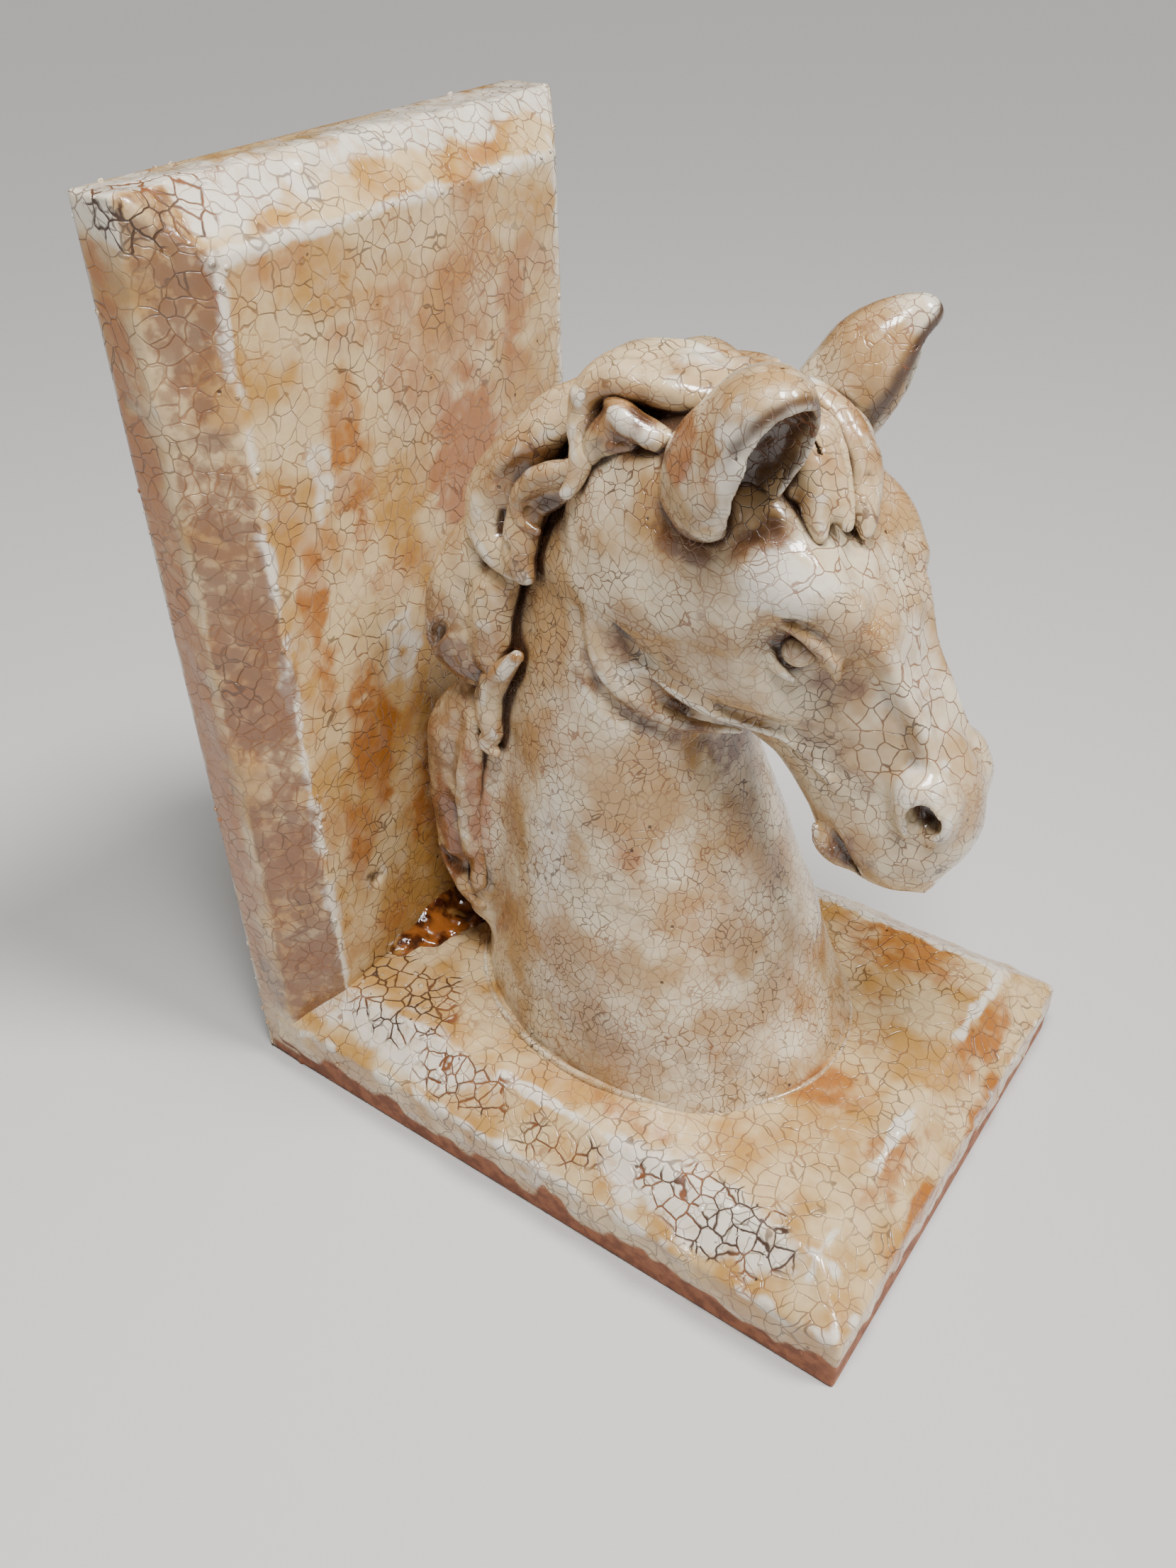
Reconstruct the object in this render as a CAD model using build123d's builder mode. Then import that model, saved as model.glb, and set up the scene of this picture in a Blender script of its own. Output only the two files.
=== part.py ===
"""Horse-head book end in glazed terracotta, built the way a pottery assembles it.

Two bevelled slabs make the L.  A hollow neck and a hollow head are cast over one core, and the ears, the
eyes, the forelock and the locks of the mane are modelled apart and luted on with slip before the firing.

Millimetres.  X runs from the books' face towards the horse's nose, Y to the horse's left and Z up.
The origin is on the shelf, under the middle of the book end.
"""
import os
from math import cos, radians, sin

from build123d import *

os.makedirs("parts", exist_ok=True)

# ---------------------------------------------------------------- driving dimensions
slab_width = 114.0        # both slabs, across the book end
base_depth = 156.0        # books' face to the front edge
back_height = 200.0       # shelf to the top edge
base_rim = 14.5           # height of the base slab at its edge
base_rise = 8.0           # from that rim up to the platform
back_rim = 11.5           # thickness of the back slab at its edge
back_rise = 9.0           # from that rim out to the raised panel
bevel_inset = 10.5        # how far in both bevels run
edge_round = 1.5          # softened outer corners of both slabs

neck_gap = 14.5           # raised panel to the neck's foot
foot_length = 90.0        # neck's foot along X
foot_width = 72.0         # neck's foot along Y
vent_diameter = 10.0      # firing vent through the base into the hollow neck
coil_size = 2.6           # clay coil that seals the neck to the base

eye_radius = 4.6
eye_spread = 32.0         # between the two eyes' centres
ear_length = 28.0         # above the ear's foot
ear_width = 20.0
ear_thickness = 15.0
ear_root = 8.0            # how far the ear's root runs down to the skull
ear_scoop = 0.62          # the ear's hollow as a share of the ear
ear_spread = 33.0         # between the two ears' feet
ear_splay = 13.0          # degrees that each ear leans out
ear_lean = 33.0           # degrees that each ear leans forward
lock_flatness = 0.8       # a lock's thickness as a share of its width

# ---------------------------------------------------------------- what follows from them
platform = base_rim + base_rise
panel = back_rim + back_rise
books_face = -base_depth / 2
foot_middle = books_face + panel + neck_gap + foot_length / 2


def on_stand(x, y, z):
    """A point of the horse: x from the neck's foot at the back, y from the middle, z from the platform."""
    return Vector(books_face + panel + neck_gap + x, y, platform + z)


def station(rear_point, front_point, half_width):
    """An elliptical station between two points of the side view: its plane and its two half sizes."""
    start = on_stand(rear_point[0], 0, rear_point[1])
    end = on_stand(front_point[0], 0, front_point[1])
    across = end - start
    plane = Plane(origin=(start + end) / 2, x_dir=across, z_dir=across.cross(Vector(0, 1, 0)))
    return plane, across.length / 2, half_width


def body_through(stations):
    """A smooth body through elliptical stations."""
    with BuildPart() as body:
        for plane, half_x, half_y in stations:
            with BuildSketch(plane):
                Ellipse(half_x, half_y)
        loft()
    return body.part


def lock(path, radii):
    """A lock of hair: slightly flattened stations along a path, thin at both ends."""
    points = [on_stand(*point) for point in path]
    ahead = points[1:] + points[-1:]
    behind = points[:1] + points[:-1]
    return body_through(
        (Plane(origin=here, x_dir=(0, 1, 0), z_dir=after - before), radius, radius * lock_flatness)
        for here, after, before, radius in zip(points, ahead, behind, radii)
    )


def near(one, other):
    """Whether the boxes around two bodies overlap."""
    a, b = one.bounding_box(), other.bounding_box()
    return (
        a.min.X < b.max.X and b.min.X < a.max.X
        and a.min.Y < b.max.Y and b.min.Y < a.max.Y
        and a.min.Z < b.max.Z and b.min.Z < a.max.Z
    )


# ---------------------------------------------------------------- slabs
with BuildPart() as back_slab:
    with BuildSketch(Plane.YZ.offset(books_face)):
        Rectangle(slab_width, back_height, align=(Align.CENTER, Align.MIN))
    extrude(amount=back_rim)
    with BuildSketch(Plane.YZ.offset(books_face + back_rim)):
        Rectangle(slab_width, back_height, align=(Align.CENTER, Align.MIN))
    with BuildSketch(Plane.YZ.offset(books_face + panel)):
        Rectangle(slab_width - 2 * bevel_inset, back_height - bevel_inset, align=(Align.CENTER, Align.MIN))
    loft(ruled=True)
    fillet(back_slab.edges().filter_by(Axis.X).group_by(Axis.Z)[-1], edge_round)

with BuildPart() as base_slab:
    with BuildSketch(Plane.XY):
        Rectangle(base_depth, slab_width)
    extrude(amount=base_rim)
    with BuildSketch(Plane.XY.offset(base_rim)):
        Rectangle(base_depth, slab_width)
    with BuildSketch(Plane.XY.offset(platform)):
        with Locations((books_face, 0)):
            Rectangle(base_depth - bevel_inset, slab_width - 2 * bevel_inset, align=(Align.MIN, Align.CENTER))
    loft(ruled=True)
    fillet(base_slab.edges().filter_by(Axis.Z).group_by(Axis.X)[-1], edge_round)
    add(back_slab.part, mode=Mode.SUBTRACT)
    with Locations((foot_middle, 0, 0)):
        Hole(vent_diameter / 2)

# ---------------------------------------------------------------- side view: rear or upper point, front or lower point, half width
neck_view = [
    ((0, 0), (foot_length, 0), foot_width / 2),
    ((1, 25.5), (foot_length - 8, 23.5), 32),
    ((6, 55.5), (foot_length - 20, 51.5), 26),
    ((12, 87.5), (63, 75.5), 22),
    ((22, 115.5), (66, 91.5), 19.5),
    ((34.5, 134.5), (68, 107.5), 16),
    ((49, 145), (71, 125.5), 11),
]
head_view = [
    ((48, 145), (34, 121), 9),
    ((63, 145.5), (40, 108), 17),
    ((81, 132.5), (45, 95.5), 21),
    ((92, 116.5), (57, 86.5), 20),
    ((97, 103.5), (72, 85.5), 13.5),
    ((103, 94.5), (81, 78.5), 10.5),
    ((109, 85.5), (84, 69.5), 11.5),
    ((112, 74.5), (87, 63.5), 11),
    ((109, 61.5), (95, 57.5), 6),
]
# the core that both castings are made over: up the neck, round over the throat and down into the face
core_view = [
    ((8, -3), (foot_length - 8, -3), 28.5),
    ((9.5, 25), (foot_length - 16.5, 23), 24),
    ((14, 54), (foot_length - 28, 52), 18),
    ((21, 84.5), (54, 77.5), 13),
    ((36, 107), (54.5, 91), 8),
    ((50, 114.5), (57, 100), 7),
    ((70, 115), (66, 101), 7),
    ((84, 103), (76, 94), 5),
]
neck_whole = body_through(station(*row) for row in neck_view)
head_whole = body_through(station(*row) for row in head_view)
core = body_through(station(*row) for row in core_view)

# ---------------------------------------------------------------- head and neck
down_the_face = Vector(0.59, 0, -0.81)
with BuildPart() as right_eye:
    with Locations(Plane(origin=on_stand(80.5, -eye_spread / 2, 110.5), x_dir=(0, 1, 0), z_dir=down_the_face)):
        Sphere(eye_radius)

with BuildPart() as left_eye:
    add(mirror(right_eye.part, about=Plane.XZ))

with BuildPart() as head_casting:
    add(head_whole)
    add([right_eye.part, left_eye.part], mode=Mode.SUBTRACT)
    add(core, mode=Mode.SUBTRACT)

with BuildPart() as neck_casting:
    add(neck_whole)
    add(core, mode=Mode.SUBTRACT)
    add(head_whole, mode=Mode.SUBTRACT)

with BuildPart() as neck_coil:
    with BuildSketch(Plane.XY.offset(platform)):
        with Locations((foot_middle, 0)):
            Ellipse(foot_length / 2 + coil_size, foot_width / 2 + coil_size)
    extrude(amount=coil_size)
    chamfer(neck_coil.edges().sort_by(Axis.Z)[-1], coil_size * 0.7)
    add(neck_whole, mode=Mode.SUBTRACT)

# ---------------------------------------------------------------- ears
ear_foot = on_stand(62, -ear_spread / 2, 133.5)
ear_direction = Vector(
    sin(radians(ear_lean)),
    -sin(radians(ear_splay)),
    cos(radians(ear_lean)) * cos(radians(ear_splay)),
).normalized()
forwards = Vector(0.92, -0.18, -0.34)
ear_mouth = (forwards - ear_direction * ear_direction.dot(forwards)).normalized()
ear_outline = [(0.0, 0.88), (0.3, 1.0), (0.62, 0.82), (0.86, 0.46), (1.0, 0.14)]   # share of length, of width


def ear_cone(share, shift):
    """The ear's own cone, or the smaller one that hollows it, shifted towards the ear's mouth."""
    rows = [(-ear_root, 0.62)] + [(along * ear_length, size) for along, size in ear_outline]
    across = ear_direction.cross(ear_mouth)
    return body_through(
        (
            Plane(origin=ear_foot + ear_direction * height + ear_mouth * shift, x_dir=across, z_dir=ear_direction),
            ear_width / 2 * size * share,
            ear_thickness / 2 * size * share,
        )
        for height, size in rows
    )


with BuildPart() as right_ear:
    add(ear_cone(1.0, 0.0))
    add([ear_cone(ear_scoop, ear_thickness * 0.36), head_whole, neck_whole], mode=Mode.SUBTRACT)

with BuildPart() as left_ear:
    add(mirror(right_ear.part, about=Plane.XZ))

# ---------------------------------------------------------------- mane and forelock, in the order they are luted on
hair = {
    "mane_crest": (
        [(49, 0, 143.5), (33, 0, 135.5), (20, 0, 117.5), (11, 0, 93.5), (6, 0, 69.5), (1, 0, 43.5), (-2, 0, 21.5)],
        [4, 8, 8, 7.5, 7, 6, 3],
    ),
    "poll_lock": (
        [(62, -2, 146.5), (51, -4, 147.5), (43, -9, 146.5), (38, -14, 141.5), (36, -18, 133.5), (33, -19, 123.5)],
        [4, 8, 9, 8, 6, 2.5],
    ),
    "poll_tuft": ([(54, -15, 136), (46, -17.5, 138), (41, -19, 134), (40, -19.5, 128)], [2.5, 4, 4, 2]),
    "curl_lock": (
        [(28, -8, 139), (21, -11, 133), (14, -14, 125), (12, -16, 117), (15, -18, 110), (20, -19, 106)],
        [4, 6, 6.5, 5.5, 4, 2],
    ),
    "inner_curl": (
        [(37, -17, 132), (31.5, -18, 126), (27.5, -18.5, 119), (26, -18.5, 112), (28, -18, 106)],
        [3, 4.5, 4.5, 3.5, 2],
    ),
    "full_lock": ([(15, -12, 115), (6, -13, 106), (2.5, -13, 94), (5, -14, 85), (9, -14.5, 78)], [4, 7.5, 8.5, 7, 3]),
    "small_curl": ([(19, -17, 90), (12, -17, 78), (13, -18, 71), (11.5, -18.5, 63)], [2.5, 4, 3.2, 2]),
    "long_lock": (
        [(9, -13, 76), (1, -13, 61), (-2.5, -14, 46), (-3, -14, 32), (-1, -15, 21), (2.5, -16, 13)],
        [3, 6, 6.5, 6, 4.5, 2],
    ),
    "left_upper_lock": ([(46, 7, 145), (34, 13, 139), (25, 17, 128), (21, 18, 115), (24, 18, 104)], [4, 7, 7.5, 6, 2.5]),
    "left_middle_lock": ([(18, 10, 110), (9, 12, 98), (6, 13, 86), (9, 14, 75)], [4, 7, 7.5, 3]),
    "left_lower_lock": ([(9, 12, 73), (2, 12, 60), (-1, 12, 44), (0.5, 13, 30), (3, 13.5, 19)], [3, 6, 6, 5, 2]),
    "right_forelock": ([(60, -2, 146), (73, -4, 142), (79, -6, 134.5), (81, -8, 127.5)], [4, 6, 5, 2]),
    "left_forelock": ([(64, 4, 146), (76, 4, 139), (82, 3, 131), (85, 1, 123)], [4, 6, 5, 2]),
}
luted = {}
blocked = [head_whole, neck_whole, back_slab.part, right_ear.part, left_ear.part]
for name, (path, radii) in hair.items():
    with BuildPart() as piece:
        add(lock(path, radii))
        add([other for other in blocked if near(piece.part, other)], mode=Mode.SUBTRACT)
    luted[name] = piece.part
    blocked.append(piece.part)

# ---------------------------------------------------------------- one file for each piece
pieces = {
    "back_slab": back_slab.part,
    "base_slab": base_slab.part,
    "neck_casting": neck_casting.part,
    "neck_coil": neck_coil.part,
    "head_casting": head_casting.part,
    "right_eye": right_eye.part,
    "left_eye": left_eye.part,
    "right_ear": right_ear.part,
    "left_ear": left_ear.part,
    **luted,
}
for name, piece in pieces.items():
    piece.label = name
    export_step(piece, f"parts/{name}.step")
    print(f"{name:18s} {piece.volume:10.0f} mm3 in {len(piece.solids())} solid(s), valid {piece.is_valid}")
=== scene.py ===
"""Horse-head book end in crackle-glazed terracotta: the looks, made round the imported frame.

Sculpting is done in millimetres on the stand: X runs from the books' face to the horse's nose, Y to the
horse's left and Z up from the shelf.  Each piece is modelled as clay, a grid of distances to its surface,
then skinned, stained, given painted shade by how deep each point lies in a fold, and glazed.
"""
from math import radians

import bpy
import numpy as np
import openvdb
from bpy.props import FloatProperty, IntProperty, PointerProperty
from mathutils import Matrix, Vector


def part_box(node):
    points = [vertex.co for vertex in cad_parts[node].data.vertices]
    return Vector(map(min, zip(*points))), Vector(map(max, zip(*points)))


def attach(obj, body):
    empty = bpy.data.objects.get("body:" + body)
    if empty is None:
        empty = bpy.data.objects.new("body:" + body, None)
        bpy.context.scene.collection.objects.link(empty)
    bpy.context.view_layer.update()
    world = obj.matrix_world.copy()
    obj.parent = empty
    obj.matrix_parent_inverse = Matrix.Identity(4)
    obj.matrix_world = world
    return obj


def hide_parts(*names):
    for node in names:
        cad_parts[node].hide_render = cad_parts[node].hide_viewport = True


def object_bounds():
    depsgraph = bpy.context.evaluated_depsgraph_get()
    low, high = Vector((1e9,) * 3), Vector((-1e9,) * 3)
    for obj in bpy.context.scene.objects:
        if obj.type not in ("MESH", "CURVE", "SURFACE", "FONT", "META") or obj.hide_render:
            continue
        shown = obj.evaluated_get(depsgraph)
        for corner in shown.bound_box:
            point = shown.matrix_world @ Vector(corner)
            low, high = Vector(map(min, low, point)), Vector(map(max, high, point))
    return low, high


bl_info = {
    "name": "Crackle-glazed horse book end",
    "version": (1, 0, 0),
    "blender": (4, 5, 0),
    "location": "3D Viewport > Sidebar > Book end",
    "description": "Models, stains and glazes a horse-head book end round its packed frame",
    "category": "Object",
}

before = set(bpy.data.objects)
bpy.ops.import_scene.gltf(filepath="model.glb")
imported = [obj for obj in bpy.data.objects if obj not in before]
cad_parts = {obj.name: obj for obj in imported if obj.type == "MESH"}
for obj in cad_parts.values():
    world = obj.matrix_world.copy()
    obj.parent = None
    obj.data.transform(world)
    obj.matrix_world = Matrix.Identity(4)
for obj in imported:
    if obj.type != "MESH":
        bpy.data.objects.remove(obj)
CAD_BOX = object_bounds()

MM = 0.001
FAR = 6.0                 # distance that stands for anything further off, mm
PIECES = {}               # each finished clay by piece name, for the stain and the painted shade


# ---------------------------------------------------------------- the frame, in millimetres on the stand
BOOKS_FACE = float(CAD_BOX[0][0]) / MM


def node_box(node):
    """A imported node's lowest and highest corner on the stand, in millimetres."""
    low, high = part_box(node)
    return tuple(np.array(corner) / MM - (BOOKS_FACE, 0, 0) for corner in (low, high))


BACK_LOW, BACK_HIGH = node_box("back_slab")
BASE_LOW, BASE_HIGH = node_box("base_slab")
HEIGHT = BACK_HIGH[2]
HALF_WIDTH = BACK_HIGH[1]
PANEL = BACK_HIGH[0]
PLATFORM = float(BASE_HIGH[2])
FRONT = BASE_HIGH[0]


# ---------------------------------------------------------------- settings
def size(name, text, default):
    """A length in millimetres as a property."""
    return FloatProperty(name=name, description=text, default=default, min=0.0)


def linear(code):
    """An sRGB hex value as linear red, green, blue and alpha."""
    parts = [int(code[i:i + 2], 16) / 255 for i in (1, 3, 5)]
    return (*(p / 12.92 if p <= 0.04045 else ((p + 0.055) / 1.055) ** 2.4 for p in parts), 1.0)


class SlabSettings(bpy.types.PropertyGroup):
    back_rim: size("Back rim", "Thickness of the back slab at its edge, mm", 11.5)
    base_rim: size("Base rim", "Height of the base slab at its edge, mm", 14.5)
    inset: size("Bevel inset", "How far in both bevels run, mm", 10.5)
    edge: size("Edge softness", "Radius of the hand-rubbed edges, mm", 0.6)
    grain: size("Modelling grain", "Spacing of the slabs' clay grid, mm", 0.84)


class HorseSettings(bpy.types.PropertyGroup):
    grain: size("Modelling grain", "Spacing of the horse's clay grid, mm", 0.77)
    fine_grain: size("Fine grain", "Spacing of the ears', eyes' and locks' clay grid, mm", 0.45)


class RunSettings(bpy.types.PropertyGroup):
    bead: size("Bead", "Greatest thickness of the bead round the neck's foot, mm", 2.2)
    blisters: size("Blisters", "Blisters and drips on each square metre of rough glaze", 60000.0)
    smallest: size("Smallest", "Radius of the smallest blister, mm", 0.25)
    largest: size("Largest", "Radius of the largest blister, mm", 0.75)
    seed: IntProperty(name="Seed", description="Chance that strews the blisters", default=5)


class StudioSettings(bpy.types.PropertyGroup):
    lens: FloatProperty(name="Lens", description="Focal length", default=30.26, unit="CAMERA")
    sun: FloatProperty(name="Sun", description="Strength of the wide soft sun", default=3.5)
    key: FloatProperty(name="Window", description="Power of the small window light", default=4.6,
                       unit="POWER")
    fill: FloatProperty(name="Fill light", description="Power of the front fill", default=1.2, unit="POWER")
    sky: FloatProperty(name="Sky", description="Strength of the even light all round", default=0.2)


# ---------------------------------------------------------------- clay
def soft_min(a, b, softness):
    """The smaller of two distances, blended over a stretch of softness millimetres."""
    if np.isscalar(softness) and softness <= 0:
        return np.minimum(a, b)
    nearness = np.maximum(softness - np.abs(a - b), 0)
    return np.minimum(a, b) - nearness * nearness / (4 * softness)


def smooth_curve(keys, values):
    """A smooth function of one number through given keys and values, without overshoot."""
    keys, values = np.array(keys, float), np.array(values, float)
    steps = np.diff(values) / np.diff(keys)
    slopes = np.concatenate(([steps[0]], (steps[1:] + steps[:-1]) / 2, [steps[-1]]))
    slopes[1:-1][steps[1:] * steps[:-1] <= 0] = 0
    fine = np.linspace(keys[0], keys[-1], 400)
    i = np.clip(np.searchsorted(keys, fine, "right") - 1, 0, len(steps) - 1)
    span = keys[i + 1] - keys[i]
    t = (fine - keys[i]) / span
    table = (
        values[i] * (2 * t**3 - 3 * t**2 + 1) + slopes[i] * span * (t**3 - 2 * t**2 + t)
        + values[i + 1] * (3 * t**2 - 2 * t**3) + slopes[i + 1] * span * (t**3 - t**2)
    )
    return lambda at: np.interp(at, fine, table).astype(np.float32)


def smooth_path(points, radii, step=1.2):
    """Closely spaced points and radii along a smooth path through the given ones."""
    points = np.array(points, float)
    lengths = np.concatenate(([0], np.cumsum(np.linalg.norm(np.diff(points, axis=0), axis=1))))
    along = np.linspace(0, lengths[-1], max(3, int(lengths[-1] / step)))
    curves = [smooth_curve(lengths, column) for column in (*points.T, radii)]
    table = np.stack([curve(along) for curve in curves], 1)
    return table[:, :3], table[:, 3]


class Clay:
    """A block of clay held as distances to its surface, in millimetres, on a regular grid."""

    def __init__(self, low, high, grain):
        self.grain = grain
        self.axes = [np.arange(a, b + grain, grain, dtype=np.float32) for a, b in zip(low, high)]
        self.field = np.full([len(axis) for axis in self.axes], FAR, np.float32)

    def window(self, low, high):
        """The part of the grid inside a box, as slices, and its open grid of coordinates."""
        spans = [np.searchsorted(axis, (a, b)) for axis, a, b in zip(self.axes, low, high)]
        part = tuple(slice(*span) for span in spans)
        return part, np.ix_(*(axis[cut] for axis, cut in zip(self.axes, part)))

    def work(self, form, softness, sign):
        low, high, distance = form
        margin = float(np.max(softness)) + 2.5
        part, grid = self.window(np.array(low) - margin, np.array(high) + margin)
        if 0 in self.field[part].shape:
            return
        here = self.field[part]
        there = distance(*grid)
        if callable(softness):
            softness = softness(*grid)
        self.field[part] = sign * soft_min(sign * here, there, softness)

    def add(self, form, softness=1.0):
        self.work(form, softness, 1)

    def cut(self, form, softness=1.0):
        self.work(form, softness, -1)

    def roll(self, points, radii, softness):
        self.add(rope(points, radii), softness)

    def press(self, points, radii, softness):
        self.cut(rope(points, radii), softness)

    def skin_points(self, reach=1.9):
        """Where the grid is within reach of the surface, and the coordinates there."""
        near = np.nonzero(np.abs(self.field) < reach)
        return near, np.stack([axis[i] for axis, i in zip(self.axes, near)], 1)

    def dress(self, thickness):
        """Thickens the skin by what thickness(points) gives, in millimetres."""
        near, points = self.skin_points()
        self.field[near] -= thickness(points)

    def even_out(self):
        """Turns any smooth field into distances, near enough, by dividing it by its slope."""
        slopes = np.gradient(self.field, self.grain)
        steepness = np.sqrt(sum(slope * slope for slope in slopes))
        self.field = np.clip(self.field / np.maximum(steepness, 0.35), -FAR, FAR)


def ball(centre, radii, along=(0, 0, 1), across=(0, 1, 0)):
    """An ellipsoid: radii along, across and through."""
    centre, radii = np.array(centre, float), np.array(radii, float)
    first = np.array(along, float) / np.linalg.norm(along)
    second = np.array(across, float) - first * np.dot(first, across)
    second /= np.linalg.norm(second)
    turn = np.stack([first, second, np.cross(first, second)])
    reach = np.abs(turn.T) @ radii

    def distance(x, y, z):
        p = (x - centre[0], y - centre[1], z - centre[2])
        local = [sum(float(row[i]) * p[i] for i in range(3)) for row in turn]
        near = np.sqrt(sum((v / r) ** 2 for v, r in zip(local, radii)))
        slope = np.sqrt(sum((v / r**2) ** 2 for v, r in zip(local, radii)))
        return (near * (near - 1) / np.maximum(slope, 1e-4)).astype(np.float32)

    return centre - reach, centre + reach, distance


def rope(points, radii):
    """A round roll of clay along a smooth path, as thick as the radii say."""
    path, thick = smooth_path(points, radii)
    low, high = (path - thick[:, None]).min(0), (path + thick[:, None]).max(0)

    def distance(x, y, z):
        axes = [axis.ravel() for axis in (x, y, z)]
        out = np.full([len(axis) for axis in axes], FAR, np.float32)
        for a, b, ra, rb in zip(path[:-1], path[1:], thick[:-1], thick[1:]):
            reach = max(ra, rb) + FAR
            spans = [
                slice(*np.searchsorted(axis, (min(p, q) - reach, max(p, q) + reach)))
                for axis, p, q in zip(axes, a, b)
            ]
            px, py, pz = np.ix_(*(axis[span] for axis, span in zip(axes, spans)))
            if 0 in (px.size, py.size, pz.size):
                continue
            way = b - a
            length = float(way @ way) + 1e-9
            px, py, pz = px - np.float32(a[0]), py - np.float32(a[1]), pz - np.float32(a[2])
            t = np.clip((px * float(way[0]) + py * float(way[1]) + pz * float(way[2])) / length, 0, 1)
            gap = np.sqrt(
                (px - t * float(way[0])) ** 2 + (py - t * float(way[1])) ** 2 + (pz - t * float(way[2])) ** 2
            )
            part = tuple(spans)
            out[part] = np.minimum(out[part], gap - (float(ra) + t * float(rb - ra)))
        return out

    return low, high, distance


def faces(planes, softness):
    """A block bounded by planes, each a point on it and its outward direction, with softened edges."""
    planes = [(np.array(p, float), np.array(n, float) / np.linalg.norm(n)) for p, n in planes]

    def distance(x, y, z):
        out = None
        for point, out_of in planes:
            d = (x - point[0]) * out_of[0] + (y - point[1]) * out_of[1] + (z - point[2]) * out_of[2]
            d = np.broadcast_to(d, np.broadcast_shapes(x.shape, y.shape, z.shape)).astype(np.float32)
            out = d if out is None else -soft_min(-out, -d, softness)
        return out

    return distance


# ---------------------------------------------------------------- chance, the same every time
def scatter(cells, seed):
    """A random number from 0 to 1 for each whole-number cell."""
    mixed = (cells * np.array([73856093, 19349663, 83492791], np.int64)).sum(-1) + seed * 2654435761
    mixed = (mixed ^ (mixed >> 13)) * 1274126177 & 0x7FFFFFFF
    mixed = (mixed ^ (mixed >> 15)) * 668265263 & 0x7FFFFFFF
    return ((mixed ^ (mixed >> 11)) & 0xFFFFF) / float(0xFFFFF)


def between_cells(points, value_of, eased=False):
    """What value_of gives for the eight cells round each point, blended by how near each one is."""
    cell = np.floor(points).astype(np.int64)
    t = points - cell
    if eased:
        t = t * t * (3 - 2 * t)
    total = 0.0
    for corner in np.ndindex(2, 2, 2):
        total = total + np.prod(np.where(corner, t, 1 - t), axis=-1) * value_of(cell + corner)
    return total


def cloud(points, size_mm, seed, octaves=1):
    """Smooth noise from about -1 to 1 at the points, with lumps of a given size."""
    total, strength, weight = 0.0, 1.0, 0.0
    for octave in range(octaves):
        value = between_cells(points / (size_mm / 2**octave), lambda cell: scatter(cell, seed + octave), True)
        total = total + strength * (value * 2 - 1)
        weight += strength
        strength *= 0.5
    return 1.6 * total / weight


def fade(values, start, end):
    """0 before start, 1 after end, and smooth between."""
    t = np.clip((values - start) / (end - start), 0, 1)
    return t * t * (3 - 2 * t)


def near_spot(points, centre, radii):
    """1 at a spot's centre, falling smoothly to 0 at its radii."""
    return 1 - fade(np.linalg.norm((points - np.array(centre)) / np.array(radii), axis=-1), 0.35, 1.0)


# ---------------------------------------------------------------- from clay to a mesh
def skin(name, clay):
    """The clay's surface as a closed mesh object in the frame, with its faces outward."""
    for axis in range(3):
        for end in (0, -1):
            side = [slice(None)] * 3
            side[axis] = end
            clay.field[tuple(side)] = FAR
    grid = openvdb.FloatGrid(FAR)
    grid.copyFromArray(clay.field)
    points, triangles, quads = grid.convertToPolygons(0.0, 0.0)
    low = np.array([axis[0] for axis in clay.axes])
    points = (points * clay.grain + low + (BOOKS_FACE, 0, 0)) * MM
    corners = np.concatenate([quads.ravel(), triangles.ravel()]).astype(np.int32)
    starts = np.concatenate([
        np.arange(len(quads)) * 4,
        len(quads) * 4 + np.arange(len(triangles)) * 3,
    ]).astype(np.int32)
    a, b, c = (points[quads[:, i]] for i in range(3))
    if np.einsum("ij,ij->i", a, np.cross(b, c)).sum() < 0:
        flipped = [quads[:, ::-1].ravel(), triangles[:, ::-1].ravel()]
        corners = np.concatenate(flipped).astype(np.int32)
    mesh = bpy.data.meshes.new(name)
    mesh.vertices.add(len(points))
    mesh.vertices.foreach_set("co", points.astype(np.float32).ravel())
    mesh.loops.add(len(corners))
    mesh.loops.foreach_set("vertex_index", corners)
    mesh.polygons.add(len(starts))
    mesh.polygons.foreach_set("loop_start", starts)
    mesh.update(calc_edges=True)
    mesh.validate()
    mesh.shade_smooth()
    piece = bpy.data.objects.new(name, mesh)
    bpy.context.scene.collection.objects.link(piece)
    PIECES[name] = clay
    print(f"{name}: {len(mesh.polygons)} faces")
    return piece


def settle(piece, slot, *nodes):
    """Puts a finished piece on the book end's one body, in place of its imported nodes."""
    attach(piece, "root")
    if nodes:
        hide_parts(*nodes)
    return piece


# ---------------------------------------------------------------- slabs
def hand_made(points):
    """The low unevenness of a hand-rubbed slab, in millimetres."""
    return 0.55 * cloud(points, 34, 11) + 0.22 * cloud(points, 9, 12)


def under_floor():
    """Everything below the shelf, to keep the feet of both slabs flat."""
    return (-9, -99, -9), (199, 99, 1), lambda x, y, z: (z + 0 * x + 0 * y).astype(np.float32)


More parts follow.
